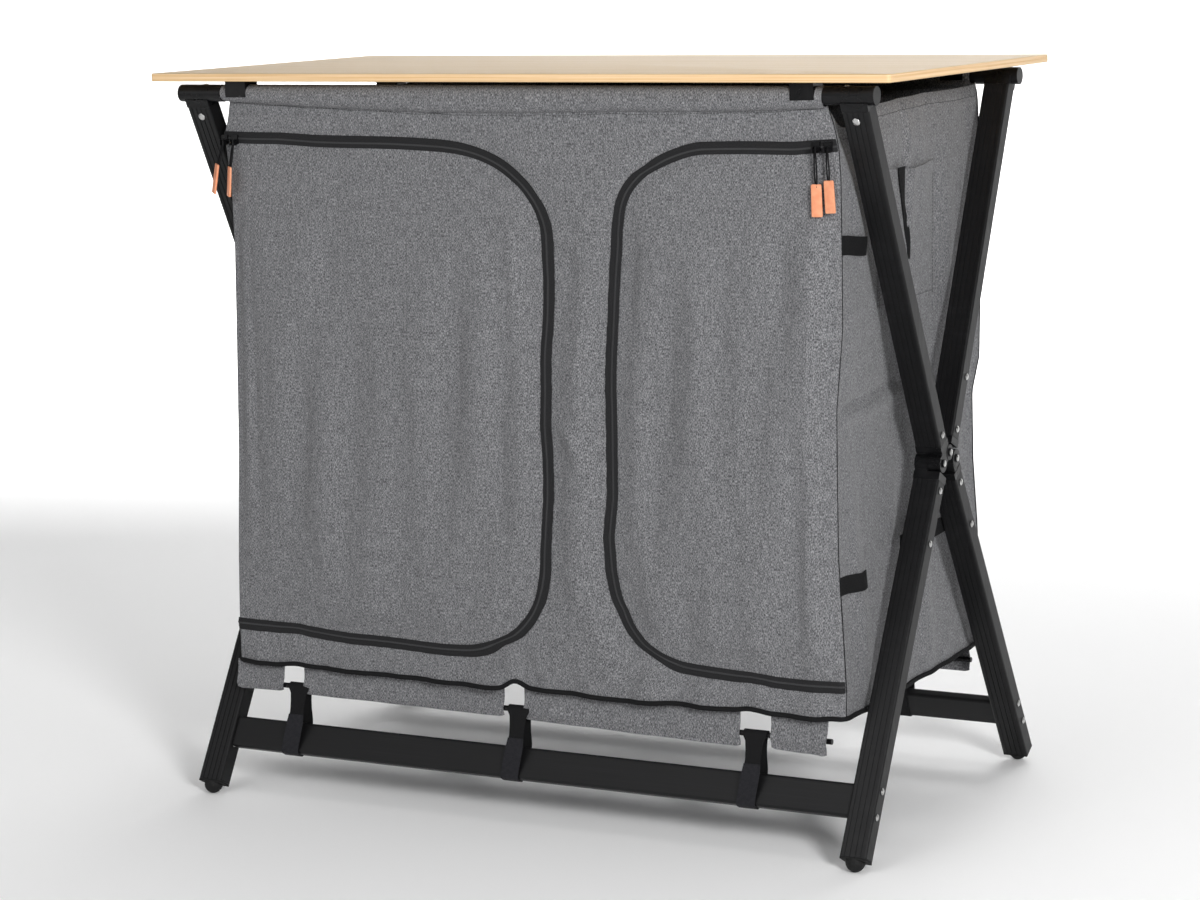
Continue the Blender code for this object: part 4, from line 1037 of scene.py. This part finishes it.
for face, where in FACES:
    def sleeve_place(across, arc):
        angle = arc / SLEEVE_GIRTH * 2 * math.pi - math.pi / 2
        low_edge = np.interp(across, *SLEEVE_SEAM)
        half_tall = (SLEEVE_TOP - low_edge) / 2
        end = smooth_share(SLEEVE_HALF - np.abs(across), 0.0, 0.007)
        lower = smooth_share(np.sin(angle), 0.7, -0.7)
        slant = across / GATHER_STEP + 0.55 * np.sin(angle)
        gather = ripples(slant, across / 0.20, 61 + face) + 0.7 * ripples(slant * 1.9, across / 0.10, 64)
        calm_ends = smooth_share(np.abs(across + 0.03), 0.40, 0.18)
        gather = GATHER_HIGH * gather * (0.25 + 0.75 * lower) * calm_ends
        swell = (0.90 + 0.10 * end) + gather / SLEEVE_HALF_DEEP * end
        depth = -RAIL_Y - SLEEVE_HALF_DEEP * swell * np.cos(angle)
        rise = half_tall * (0.94 + 0.06 * end) * np.sin(angle) * (1 + 0.3 * gather / half_tall)
        return on_face((across, depth, low_edge + half_tall + rise), face)
    arcs = np.linspace(0, SLEEVE_GIRTH, SLEEVE_ROUND + 1)
    bm = flat_grid(spaced(-SLEEVE_HALF, SLEEVE_HALF, 0.0025), arcs)
    centres = [(patch, patch.calc_center_median()) for patch in bm.faces]
    gone = [patch for patch, spot in centres if not clear_of_clip(spot.x, spot.y / SLEEVE_GIRTH)]
    bmesh.ops.delete(bm, geom=gone, context="FACES")
    sleeve = sheet_piece("rail_sleeve_" + where, bm, sleeve_place, SLEEVE_THICK, merge=0.00005)
    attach(sleeve, "frame_" + where)


# Piping
# Thick black piping runs all round the lower edge, over the seam of walls and floor.
PIPING_R = 0.0026
PIPING_Z = 0.1495
PIPING_PROUD = 0.0012
PIPING_TURN = 0.010
PIPING_REACH = BAG_HALF - PIPING_TURN - 0.003
PIPING_DIP = 0.0015
WEBBING_BLACK = (0.0035, 0.0035, 0.004, 1)
WEBBING_GREY = (0.017, 0.017, 0.018, 1)
WEBBING_SHINE = 0.16
WEBBING_PITCH = (0.0012, 0.0016)


def tube_along(points, radius, closed=False, sides=10):
    """A round tube whose middle follows the points."""
    count = len(points)
    lengths = [0.0]
    for first, second in zip(points, points[1:]):
        lengths.append(lengths[-1] + (Vector(second) - Vector(first)).length)
    grid = flat_grid(lengths, np.linspace(0, 2 * math.pi * radius, sides + 1))
    spots = [Vector(point) for point in points]
    ways = []
    for number in range(count):
        before = spots[max(number - 1, 0)]
        after = spots[min(number + 1, count - 1)]
        if closed and number in (0, count - 1):
            before, after = spots[-2], spots[1]
        ways.append((after - before).normalized())

    def place(mark, arc):
        found = []
        for here, turn_arc in zip(mark, arc):
            number = min(int(np.searchsorted(lengths, here - 1e-7)), count - 1)
            way = ways[number]
            up = Vector((0, 0, 1)) if abs(way.z) < 0.9 else Vector((0, 1, 0))
            out = way.cross(up).normalized()
            up = out.cross(way).normalized()
            angle = turn_arc / radius
            found.append(spots[number] + radius * (out * math.cos(angle) + up * math.sin(angle)))
        return np.array([tuple(spot) for spot in found]).T
    laid(grid, place)
    bmesh.ops.remove_doubles(grid, verts=grid.verts, dist=JOIN)
    if not closed:
        ends = [edge for edge in grid.edges if edge.is_boundary]
        bmesh.ops.holes_fill(grid, edges=ends, sides=sides + 2)
    bmesh.ops.recalc_face_normals(grid, faces=grid.faces)
    return grid


def corner_turn(side, reach, face, turns):
    """The piping's points round one corner of the cupboard."""
    ahead = FRONT_Y + PIPING_PROUD
    return [(side * (reach - PIPING_TURN * (1 - out)), face * (ahead - PIPING_TURN * (1 - off)), PIPING_Z)
            for out, off in turns]


webbing_black, shader, coords = new_look("webbing_black_woven", "UV")
split = axes_of(coords)
rib = wave_of(split["Y"], WEBBING_PITCH[1])
cross = wave_of(split["X"], WEBBING_PITCH[0])
fuzz = noise_of(coords, (900.0, 900.0, 1.0))
height = maths("ADD", maths("MULTIPLY", rib, cross), fuzz)
colour = mixed(ramp_of(height, -0.4, 1.6, 0, 0.8), WEBBING_BLACK, WEBBING_GREY)
rough = ramp_of(height, -0.5, 1.5, 0.88, 0.74)
dressed(shader, colour, rough, height, 0.0003, 0.7)
shader.inputs["Specular IOR Level"].default_value = WEBBING_SHINE

across = np.array(spaced(-PIPING_REACH, PIPING_REACH, 0.004))
seam_level = FRONT_LOW + 0.001 + 0 * across
front_run = list(zip(*front_place(across, seam_level, PIPING_PROUD)))
back_across, back_depth, back_level = back_place(across, seam_level)
back_run = list(zip(back_across, back_depth + PIPING_PROUD, back_level))
halves = {}
for side in (-1, 1):
    reach = BAG_HALF - float(corner_pull(side, PIPING_Z)) + PIPING_PROUD
    back_reach = BAG_HALF - float(back_pull(PIPING_Z)) + PIPING_PROUD
    turns = [(math.sin(angle), math.cos(angle)) for angle in np.linspace(0.0, math.pi / 2, 7)[1:-1]]
    run = corner_turn(side, reach, -1, turns)
    for depth in spaced(PIPING_TURN - FRONT_Y - PIPING_PROUD, FRONT_Y + PIPING_PROUD - PIPING_TURN, 0.006):
        wall_out = float(wall_reach(side, np.array([depth]), np.array([0.15]))[0]) + PIPING_PROUD + 0.0008
        dip = PIPING_DIP * math.sin(math.pi * (depth + 0.2) / 0.4)
        run.append((side * wall_out, depth, PIPING_Z - dip))
    halves[side] = run + corner_turn(side, back_reach, 1, turns[::-1])
loop_points = front_run + halves[1] + back_run + halves[-1][::-1]
loop_points.append(loop_points[0])
bm = tube_along(loop_points, PIPING_R, closed=True)
piping = finished(bm, "bottom_piping", webbing_black)
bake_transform(piping)


# Skirts and hem rods
# Below the piping hang short flaps with a rod in their hem, cut away where the straps pass.
ROD_Z = 0.124
ROD_Y = 0.19475
ROD_R = 0.0030
ROD_ENDS = (-0.372, 0.360)
SKIRT_Y = 0.1955
SKIRT_TOP = 0.1505
SKIRT_DROP = SKIRT_TOP - 0.115
SKIRT_THICK = 0.0009
SKIRTS = (
    (-0.387, -0.3235, 0.1165, 0.1180), (-0.2970, -0.0345, 0.1165, 0.1150),
    (-0.0090, 0.2540, 0.1140, 0.1090), (0.2900, 0.3565, 0.1100, 0.1090))
HEM_PROUD = 0.0046
HEM_HALF = 0.0065
FLARE = 0.005
FLARE_SPAN = (0.335, 0.356)

for face, where in FACES:
    for number, (low, high, low_z, high_z) in enumerate(SKIRTS):
        def skirt_place(across, drop):
            lower = low_z + (high_z - low_z) * (across - low) / (high - low)
            lower = lower + 0.0004 * ripples(across / 0.085, across / 0.2, 71 + number)
            corner = np.minimum(across - low, high - across)
            lower = lower + 0.0016 * (1 - smooth_share(corner, 0.0, 0.005))
            share = drop / SKIRT_DROP
            height = SKIRT_TOP + (lower - SKIRT_TOP) * share + bottom_wave(across) * (1 - share)
            hem = np.exp(-((height - ROD_Z) / HEM_HALF) ** 2)
            wave = 0.0009 * ripples(across / 0.075, share * 0.5, 81 + number) * smooth_share(share, 0.0, 0.5)
            flare = FLARE * smooth_share(across, *FLARE_SPAN) * share if face < 0 else 0 * across
            wave = np.maximum(wave, -0.0006) + 0.0012 * share
            depth = -(SKIRT_Y + HEM_PROUD * hem * 0.75 + wave + flare)
            return on_face((across, depth, height), face)
        bm = flat_grid(spaced(low, high, 0.003), spaced(0.0, SKIRT_DROP, 0.003))
        skirt = sheet_piece(
            "skirt_%s_%d" % (where, number + 1), bm, skirt_place, SKIRT_THICK,
            shown=lambda patch: face * patch.normal.y)
        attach(skirt, "frame_front")
    rod_points = [on_face((x, -ROD_Y, ROD_Z), face) for x in np.linspace(*ROD_ENDS, 13)]
    bm = tube_along(rod_points, ROD_R, sides=14)
    rod = finished(bm, "hem_rod_" + where, plastic_black)
    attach(rod, "frame_front")


# Tie straps
# Hook-and-loop straps that tie the hem rods to the crossbars. Each is wide over the rod, narrow
# below it, and its patch is pressed on in front of the crossbar.
STRAP_CENTRES = {"left": -0.3024, "middle": -0.0151, "right": 0.2722}
STRAP_THICK = 0.0011
BAR_HALF_TALL = 0.018
BAR_HALF_DEEP = 0.006
BAR_CORNER = 0.003
BAR_CENTRE = (-0.2022, 0.0651)
BAR_TILT = math.radians(30.0)
STRAP_HEIGHTS = (0.045, 0.060, 0.085, 0.098, 0.108, 0.118, 0.123, 0.130)
STRAP_HALVES = (0.0105, 0.0105, 0.0102, 0.0088, 0.0092, 0.0104, 0.0135, 0.0138)
STRAP_HALF = 0.013
STRAP_SKEW = -0.0042
STRAP_MIDDLE = (0.199, 0.09)
PATCH_TOP = 0.095
PATCH_HALF = 0.011
PATCH_THICK = 0.0010
PATCH_BLACK = (0.006, 0.006, 0.008, 1)
PATCH_GREY = (0.026, 0.026, 0.030, 1)
PATCH_SHEEN = 0.04
PATCH_SHINE = 0.15

hull = []
down = Vector((-math.sin(BAR_TILT), -math.cos(BAR_TILT)))
out = Vector((-math.cos(BAR_TILT), math.sin(BAR_TILT)))
for along in (-1, 1):
    for aside in (-1, 1):
        spot = Vector(BAR_CENTRE) + down * along * (BAR_HALF_TALL - BAR_CORNER)
        spot = spot + out * aside * (BAR_HALF_DEEP - BAR_CORNER)
        for angle in np.linspace(0, 2 * math.pi, 17)[:-1]:
            reach = BAR_CORNER + 0.0004 + STRAP_THICK
            hull.append(Vector((spot.x + reach * math.cos(angle), spot.y + reach * math.sin(angle))))
for angle in np.linspace(0, 2 * math.pi, 25)[:-1]:
    reach = ROD_R + 0.0008 + STRAP_THICK
    hull.append(Vector((-ROD_Y + reach * math.cos(angle), ROD_Z + reach * math.sin(angle))))
ring = [hull[number] for number in convex_hull_2d(hull)]
top = max(range(len(ring)), key=lambda number: ring[number].y)
ring = ring[top:] + ring[:top]
if ring[1].x > ring[0].x:
    ring = ring[:1] + ring[:0:-1]
ring.append(ring[0])
ring = np.array([tuple(point) for point in ring])
ring_marks = np.concatenate([[0], np.cumsum(np.hypot(*np.diff(ring, axis=0).T))])


def on_ring(mark, share, centre, wider):
    """A point at a length round the loop of a strap and at a share of its half width."""
    height = np.interp(mark, ring_marks, ring[:, 1])
    half = np.interp(height, STRAP_HEIGHTS, STRAP_HALVES) + wider
    skew = STRAP_SKEW * smooth_share(0.100 - height, 0.0, 0.050)
    return centre + share * half + skew, np.interp(mark, ring_marks, ring[:, 0]), height


for face, where in FACES:
    for place_name, centre in STRAP_CENTRES.items():
        def strap_place(mark, aside):
            return on_face(on_ring(mark, aside / STRAP_HALF, centre, 0), face)
        middle = Vector((centre, face * STRAP_MIDDLE[0], STRAP_MIDDLE[1]))
        bm = flat_grid(spaced(0, ring_marks[-1], 0.0016), spaced(-STRAP_HALF, STRAP_HALF, 0.0033))
        strap = sheet_piece(
            "tie_strap_%s_%s_webbing" % (where, place_name), bm, strap_place, STRAP_THICK, webbing_black,
            JOIN, lambda patch: patch.normal.dot(patch.calc_center_median() - middle))
        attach(strap, "frame_front")
        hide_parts("tie_strap_%s_%s" % (where, place_name))

patch_dark, shader, coords = new_look("strap_patch_fuzzy", "UV")
fuzz = noise_of(coords, (1500.0, 1500.0, 1.0), 3.0, 0.7)
blotch = noise_of(coords, (260.0, 260.0, 1.0), 2.0)
tone = maths("MULTIPLY", ramp_of(fuzz, 0.3, 0.7), 0.7)
tone = maths("ADD", tone, ramp_of(blotch, 0.3, 0.7, 0, 0.3))
rough = ramp_of(fuzz, 0.3, 0.7, 0.95, 0.80)
dressed(shader, mixed(tone, PATCH_BLACK, PATCH_GREY), rough, fuzz, 0.0006, 0.8)
shader.inputs["Sheen Weight"].default_value = PATCH_SHEEN
shader.inputs["Specular IOR Level"].default_value = PATCH_SHINE
lowest = ring_marks[int(np.argmin(ring[:, 1]))]
front_marks = np.linspace(0, lowest, 200)
patch_low = lowest - 0.001
patch_high = front_marks[np.interp(front_marks, ring_marks, ring[:, 1]) < PATCH_TOP][0]
for face, where in FACES:
    for place_name, centre in STRAP_CENTRES.items():
        def patch_place(mark, aside):
            across, depth, height = on_ring(mark, aside / PATCH_HALF, centre, 0.0004)
            out_y, out_z = -math.cos(BAR_TILT), math.sin(BAR_TILT) * 0.35
            lifted = (across, depth + PATCH_THICK * out_y, height + PATCH_THICK * out_z)
            return on_face(lifted, face)
        bm = flat_grid(spaced(patch_high, patch_low, 0.0016), spaced(-PATCH_HALF, PATCH_HALF, 0.0022))
        patch = sheet_piece(
            "strap_patch_%s_%s" % (where, place_name), bm, patch_place, PATCH_THICK, patch_dark,
            shown=lambda bit: face * bit.normal.y)
        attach(patch, "frame_front")


# Corner seams
# The front and back are sewn to the side walls with dark thread, in a fine sunken line at each
# corner, and a black strip of elastic edges the slit of each side pocket.
SEAM_R = 0.0007
SEAM_TOP = 0.783
SEAM_PROUD = 0.0001
ELASTIC_HALF = 0.0096
ELASTIC_LOW = 0.612
ELASTIC_HIGH = 0.7125
ELASTIC_Y = -0.0130
ELASTIC_LEAN = 0.0225
ELASTIC_OFF = 0.0020
ELASTIC_LIMIT = 0.3858
WEBBING_THIN = 0.0009

for side, hand in SIDES:
    for face, where in FACES:
        seam_points = []
        for height in np.linspace(FRONT_LOW + 0.003, SEAM_TOP, 90):
            pull = corner_pull(side, height) if face < 0 else back_pull(height)
            reach = BAG_HALF - float(pull) - SEAM_PROUD
            seam_points.append((side * reach, face * (WALL_HALF + SEAM_PROUD), height))
        bm = tube_along(seam_points, SEAM_R, sides=6)
        seam = finished(bm, "corner_seam_%s_%s" % (where, hand), webbing_black)
        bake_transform(seam)

    def elastic_place(flat, height):
        share = smooth_share(height, 0.610, 0.713)
        middle = ELASTIC_Y - ELASTIC_LEAN * share
        depth = middle + side * flat * (0.35 + 0.65 * share)
        reach = wall_reach(side, depth, height) + POCKET_OFF + POCKET_GAPE * 0.9 * share + ELASTIC_OFF
        return side * np.minimum(reach, ELASTIC_LIMIT), depth, height
    columns = spaced(-ELASTIC_HALF, ELASTIC_HALF, 0.0032)
    bm = flat_grid(columns, spaced(ELASTIC_LOW, ELASTIC_HIGH, 0.003))
    elastic = sheet_piece("pocket_elastic_" + hand, bm, elastic_place, WEBBING_THIN, webbing_black)
    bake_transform(elastic)


# Zip pulls
# A thin black cord through each slider's eye carries a flat coral tab with rounded ends.
CORAL = (0.74, 0.27, 0.135, 1.0)
CORAL_WORN = (0.80, 0.36, 0.20, 1.0)
CORD_R = 0.0009
TAB_ROUND = 0.0007
TAB_CORNER = 0.0016
TAB_HOLE_DROP = 0.0035
TAB_FORWARD = 0.0020
TAB_RISE = 0.0175
EYE_DROP = 0.0044

pull_coral, shader, coords = new_look("pull_coral_soft", "Object")
patch = noise_of(coords, (160.0, 160.0, 160.0), 3.0)
fine = noise_of(coords, (2600.0, 2600.0, 2600.0), 2.0)
colour = mixed(ramp_of(patch, 0.35, 0.75), CORAL, CORAL_WORN)
dressed(shader, colour, ramp_of(patch, 0.3, 0.7, 0.44, 0.56), fine, 0.00008, 0.5)

TAB_LONG = 0.0335
TAB_WIDE = 0.0118
TAB_THICK = 0.0024
PULL_HANGS = {
    ("left", "inner"): (-0.0055, 0.0040, 5, -42),
    ("left", "outer"): (-0.0105, 0.0070, 11, -40),
    ("right", "inner"): (0.0022, -0.0040, -1, 4),
    ("right", "outer"): (0.0032, 0.0000, -3, -6),
}
for (hand, place_name), (aside, lift, lean, turned) in PULL_HANGS.items():
    node = "zip_pull_%s_%s" % (hand, place_name)
    body = "pull_%s_%s" % (hand, place_name)
    low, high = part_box(node)
    x, y = (low[0] + high[0]) / 2, (low[1] + high[1]) / 2
    bm = eased_block((0, 0, 0), (TAB_WIDE, TAB_THICK, TAB_LONG), 1, (TAB_CORNER, 5), (TAB_ROUND, 3))
    bmesh.ops.scale(bm, vec=(0.95, 1.0, 1.0), verts=[vert for vert in bm.verts if vert.co.z > 0])
    spin_round = Matrix.Rotation(math.radians(lean), 4, "Y") @ Matrix.Rotation(math.radians(turned), 4, "Z")
    middle = Vector((x + aside, y - TAB_FORWARD, low[2] + lift + TAB_RISE))
    bmesh.ops.transform(bm, matrix=Matrix.Translation(middle) @ spin_round, verts=bm.verts)
    tab = finished(bm, "pull_tab_%s_%s" % (hand, place_name), pull_coral)
    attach(tab, body)
    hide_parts(node)
    hold = middle + spin_round.to_3x3() @ Vector((0, 0, TAB_LONG / 2 - TAB_HOLE_DROP))
    eye = Vector((x, y, high[2] - EYE_DROP))
    strands = []
    for way in (-1, 1):
        strand = []
        for share in np.linspace(0, 1, 9):
            apart = 0.0010 * math.sin(math.pi * (0.15 + 0.7 * share)) + 0.0004
            spot = hold.lerp(eye, share)
            sag = 0.0012 * math.sin(math.pi * share)
            strand.append((spot.x + way * apart, spot.y - 0.0004 * way, spot.z - sag))
        strands.append(strand)
    turn_up = []
    for angle in np.linspace(math.pi, 0, 7)[1:-1]:
        out = math.cos(angle)
        turn_up.append((x + 0.0009 * out, y + 0.0002 * out, eye.z + 0.0028 * math.sin(angle)))
    bm = tube_along(strands[0] + turn_up + strands[1][::-1], CORD_R, sides=8)
    cord = finished(bm, "pull_cord_%s_%s" % (hand, place_name), webbing_black)
    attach(cord, body)
for node_name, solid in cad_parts.items():
    if node_name.startswith("zip_slider_"):
        solid.material_slots[0].material = plastic_black


# Rivets and screws
# Domed steel rivets on black washers hold the castings, the fittings and the crossbars to the
# legs, and small screws hold the rails and the board's clips.
STEEL = (0.60, 0.60, 0.59, 1.0)
STEEL_DARK = (0.36, 0.36, 0.36, 1.0)
RIVET_R = 0.0036
RIVET_HIGH = 0.0015
WASHER_R = 0.0046
WASHER_HIGH = 0.0004
LEG_OUTER = 0.4165
LEG_INNER = 0.3865
PIN_FACE = 0.0180 + 0.400
UPPER_TILT = math.radians(25.636)
TOP_RIVET = (0.4007, 0.1905, 0.7743)
RIM_PROUD = 0.0001
DOME_STEPS = 14
DOME_LINE = ((1.0, 0.0), (1.0, 0.22), (0.92, 0.45), (0.72, 0.74), (0.42, 0.93), (0.0, 1.0))

steel, shader, coords = new_look("rivet_steel", "Object")
shader.inputs["Metallic"].default_value = 1.0
fine = noise_of(coords, (900.0, 900.0, 900.0), 2.0)
patch = noise_of(coords, (300.0, 300.0, 300.0), 2.0)
colour = mixed(ramp_of(patch, 0.45, 0.75), STEEL, STEEL_DARK)
dressed(shader, colour, ramp_of(patch, 0.3, 0.7, 0.22, 0.38), fine, 0.00005, 0.5)


def dome(bm, spot, way, radius, high):
    """A domed head that stands on a face; way is the direction that the face looks in."""
    head = bmesh.new()
    points = [head.verts.new((radius * x, 0, high * z)) for x, z in DOME_LINE]
    edges = [head.edges.new(pair) for pair in zip(points, points[1:])]
    bmesh.ops.spin(
        head, geom=points + edges, cent=(0, 0, 0), axis=(0, 0, 1), angle=2 * math.pi,
        steps=DOME_STEPS, use_merge=True)
    bmesh.ops.remove_doubles(head, verts=head.verts, dist=JOIN)
    rim = [edge for edge in head.edges if edge.is_boundary]
    bmesh.ops.holes_fill(head, edges=rim, sides=DOME_STEPS + 2)
    bmesh.ops.recalc_face_normals(head, faces=head.faces)
    turned = Vector(way).to_track_quat("Z", "Y").to_matrix().to_4x4()
    bmesh.ops.transform(head, matrix=Matrix.Translation(spot) @ turned, verts=head.verts)
    mesh = bpy.data.meshes.new("head")
    head.to_mesh(mesh)
    head.free()
    bm.from_mesh(mesh)
    bpy.data.meshes.remove(mesh)


UPPER_NEAR = (0.0210, 0.4240)
UPPER_FAR = (0.0498, 0.4774)
LOWER_NEAR = (0.0294, 0.3644)
LOWER_FAR = (0.0591, 0.3124)
BAR_RIVETS = ((0.1967, 0.0770), (0.2115, 0.0532))
PIVOT_RIVET = (0.0, 0.402)
KNUCKLE_RIVET = (0.0185, 0.3927)
LEG_HALF_DEEP = 0.010
LEG_SHIFT = 0.0094
RIVET_SETS = (
    ("frame_front", -1, (UPPER_NEAR,), (PIVOT_RIVET, KNUCKLE_RIVET), True),
    ("frame_back", 1, (UPPER_NEAR, UPPER_FAR), (KNUCKLE_RIVET,), True),
    ("legs_front", -1, (LOWER_NEAR, LOWER_FAR) + BAR_RIVETS, (), False),
    ("legs_back", 1, (LOWER_NEAR, LOWER_FAR) + BAR_RIVETS, (), False),
)
for body, face, plain, proud, has_top in RIVET_SETS:
    heads = bmesh.new()
    rims = bmesh.new()
    for side in (-1, 1):
        for depth, height in plain:
            for reach, way in ((LEG_OUTER, side), (LEG_INNER, -side)):
                start = side * reach + way * RIM_PROUD
                dome(rims, (start, face * depth, height), (way, 0, 0), WASHER_R, WASHER_HIGH)
                start = start + way * WASHER_HIGH
                dome(heads, (start, face * depth, height), (way, 0, 0), RIVET_R, RIVET_HIGH)
        for depth, height in proud:
            dome(heads, (side * PIN_FACE, face * depth, height), (side, 0, 0), RIVET_R, 0.7 * RIVET_HIGH)
        if has_top:
            out = Vector((0, face * math.cos(UPPER_TILT), -math.sin(UPPER_TILT)))
            spot = Vector((side * TOP_RIVET[0], face * TOP_RIVET[1], TOP_RIVET[2]))
            middle = Vector((0, face * LEG_SHIFT * math.cos(UPPER_TILT),
                             PIVOT_RIVET[1] - LEG_SHIFT * math.sin(UPPER_TILT)))
            lift = LEG_HALF_DEEP - (spot - middle).dot(out)
            spot = spot + out * lift
            dome(rims, spot, out, 1.1 * WASHER_R, WASHER_HIGH)
            dome(heads, spot + out * WASHER_HIGH, out, 1.15 * RIVET_R, RIVET_HIGH)
    for bm, label, look, slot in (
            (heads, "rivets_", steel, "tube_black"),
            (rims, "rivet_washers_", plastic_black, "plastic_black")):
        piece = finished(bm, label + body, look)
        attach(piece, body)

BOSS_TOP = RAIL_Z + 0.00975
SCREW_X = 0.392
SCREW_SIZE = (0.0030, 0.0012)
CLIP_SCREW_Y = 0.1915
CLIP_SCREW_Z = 0.8052
CLIP_SCREW_SIZE = (0.0026, 0.0010)
for face, where in FACES:
    bm = bmesh.new()
    for side in (-1, 1):
        dome(bm, (side * SCREW_X, face * RAIL_Y, BOSS_TOP - 0.0002), (0, 0, 1), *SCREW_SIZE)
    screws = finished(bm, "fitting_screws_frame_" + where, steel)
    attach(screws, "frame_" + where)
bm = bmesh.new()
for face, where in FACES:
    for _, hand in SIDES:
        low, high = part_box("board_clip_%s_%s" % (where, hand))
        spot = ((low[0] + high[0]) / 2, face * CLIP_SCREW_Y, CLIP_SCREW_Z)
        dome(bm, spot, (0, 0, -1), *CLIP_SCREW_SIZE)
screws = finished(bm, "clip_screws", steel)
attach(screws, "board")


# Spreader straps
# Flat webbing between the lower legs of each side stops them from spreading. Each is two pieces
# here, one on each leg, that meet in the middle.
SPREADER_Z = 0.312
SPREADER_X = 0.3855
SPREADER_HALF = 0.009
SPREADER_END = 0.066
SPREADER_SAG = 0.0022
SPREADER_BOW = 0.0008
SIDE_STRAP_THICK = 0.0011

for side, hand in SIDES:
    for face, where in FACES:
        def spreader_place(along, across):
            depth = face * along
            slack = 1 - (along / SPREADER_END) ** 2
            reach = SPREADER_X - SPREADER_BOW * slack
            return side * reach, depth, SPREADER_Z - SPREADER_SAG * slack + across * side * face
        bm = flat_grid(spaced(0.0, SPREADER_END, 0.003), spaced(-SPREADER_HALF, SPREADER_HALF, 0.003))
        strap = sheet_piece(
            "spreader_%s_%s" % (hand, where), bm, spreader_place, SIDE_STRAP_THICK, webbing_black)
        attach(strap, "legs_" + where)
        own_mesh(strap)
        if where == "front":
            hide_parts("spreader_strap_" + hand)


# Corner straps
# Two short webbing straps are sewn into each front corner seam and lie back on the side wall.
CORNER_LIFT = 0.0010
CORNER_RISE = 0.0022
CORNER_STRAPS = ((0.634, 0.654, 0.057, -0.0055), (0.279, 0.298, 0.063, -0.0030))
for side, hand in SIDES:
    for number, (low, high, reach, end_drop) in enumerate(CORNER_STRAPS):
        def corner_place(flat, height):
            depth = side * flat
            share = smooth_share(depth, -WALL_HALF, -WALL_HALF + reach)
            lift = CORNER_LIFT + CORNER_RISE * share
            return side * (wall_reach(side, depth, height) + lift), depth, height + end_drop * share
        ends = sorted((side * (-WALL_HALF - 0.0010), side * (-WALL_HALF + reach)))
        bm = flat_grid(spaced(*ends, 0.002), spaced(low, high, 0.003))
        strap = sheet_piece(
            "corner_strap_%s_%d" % (hand, number + 1), bm, corner_place, SIDE_STRAP_THICK, webbing_black)
        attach(strap, "frame_front")


# Stitching
# Dark thread in short stitches: under the rail sleeves, along the upper hems of the side walls
# and round three sides of each pocket.
STITCH_LONG = 0.0026
STITCH_PITCH = 0.0038
STITCH_R = 0.0004
STITCH_PROUD = 0.0001
STITCH_LIMIT = 0.3853
UPPER_HEM = 0.0125
SEW_IN = 0.003
ROW_DROP = 0.0012
ROW_WANDER = 0.0006
ROW_HALF = 0.366
THREAD_DARK = (0.018, 0.018, 0.020, 1)
THREAD_PALE = (0.060, 0.060, 0.063, 1)

thread, shader, coords = new_look("thread_dark", "Object")
strand = noise_of(coords, (1800.0, 1800.0, 1800.0), 2.0)
rough = ramp_of(strand, 0.3, 0.7, 0.70, 0.85)
dressed(shader, mixed(strand, THREAD_DARK, THREAD_PALE), rough, strand, 0.0002, 0.6)


def stitched(bm, points):
    """Adds a row of short stitches along the points."""
    spots = [Vector(point) for point in points]
    marks = [0.0]
    for first, second in zip(spots, spots[1:]):
        marks.append(marks[-1] + (second - first).length)
    where = np.array([tuple(spot) for spot in spots])
    for start in np.arange(0.0, marks[-1] - STITCH_LONG, STITCH_PITCH):
        ends = []
        for mark in (start, start + STITCH_LONG):
            ends.append(Vector([np.interp(mark, marks, where[:, axis]) for axis in range(3)]))
        way = ends[1] - ends[0]
        turned = way.to_track_quat("Z", "Y").to_matrix().to_4x4()
        middle = Matrix.Translation((ends[0] + ends[1]) / 2)
        bmesh.ops.create_cone(
            bm, cap_ends=True, segments=5, radius1=STITCH_R, radius2=STITCH_R * 0.7,
            depth=way.length, matrix=middle @ turned)


def stitch_rows(name, rows_of_points):
    bm = bmesh.new()
    for points in rows_of_points:
        stitched(bm, points)
    made = finished(bm, name, thread)
    return made


def sleeve_row(seed):
    """Places across and heights of the row under a rail sleeve."""
    across = np.linspace(-ROW_HALF, ROW_HALF, 240)
    wander = ROW_WANDER * ripples(across / 0.05, across / 0.3, seed)
    return across, np.interp(across, *SLEEVE_SEAM) - ROW_DROP + wander


piece = stitch_rows("stitches_front", [np.column_stack(front_place(*sleeve_row(91), STITCH_PROUD))])
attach(piece, "frame_front")
back_row = np.column_stack(back_place(*sleeve_row(92)))
back_row[:, 1] += STITCH_PROUD
piece = stitch_rows("stitches_back", [back_row])
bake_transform(piece)
for side, hand in SIDES:
    depth = np.linspace(-WALL_HALF + 0.004, WALL_HALF - 0.004, 160)
    height = wall_level(depth, WALL_TOP - UPPER_HEM + 0 * depth)
    reach = wall_reach(side, depth, height) + STITCH_PROUD
    runs = [np.column_stack((side * reach, depth, height))]
    for low, high, level_low, level_high in (
            (POCKET_FRONT + SEW_IN, POCKET_FRONT + SEW_IN, POCKET_LOW, POCKET_HIGH - 0.002),
            (POCKET_BACK - SEW_IN, POCKET_BACK - SEW_IN, POCKET_LOW, POCKET_HIGH - 0.002),
            (POCKET_FRONT, POCKET_BACK, POCKET_LOW + SEW_IN, POCKET_LOW + SEW_IN)):
        depth = np.linspace(low, high, 60)
        height = np.linspace(level_low, level_high, 60)
        reach = np.minimum(pocket_reach(side, depth, height) + STITCH_PROUD, STITCH_LIMIT)
        runs.append(np.column_stack((side * reach, depth, height)))
    piece = stitch_rows("stitches_side_" + hand, runs)
    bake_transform(piece)
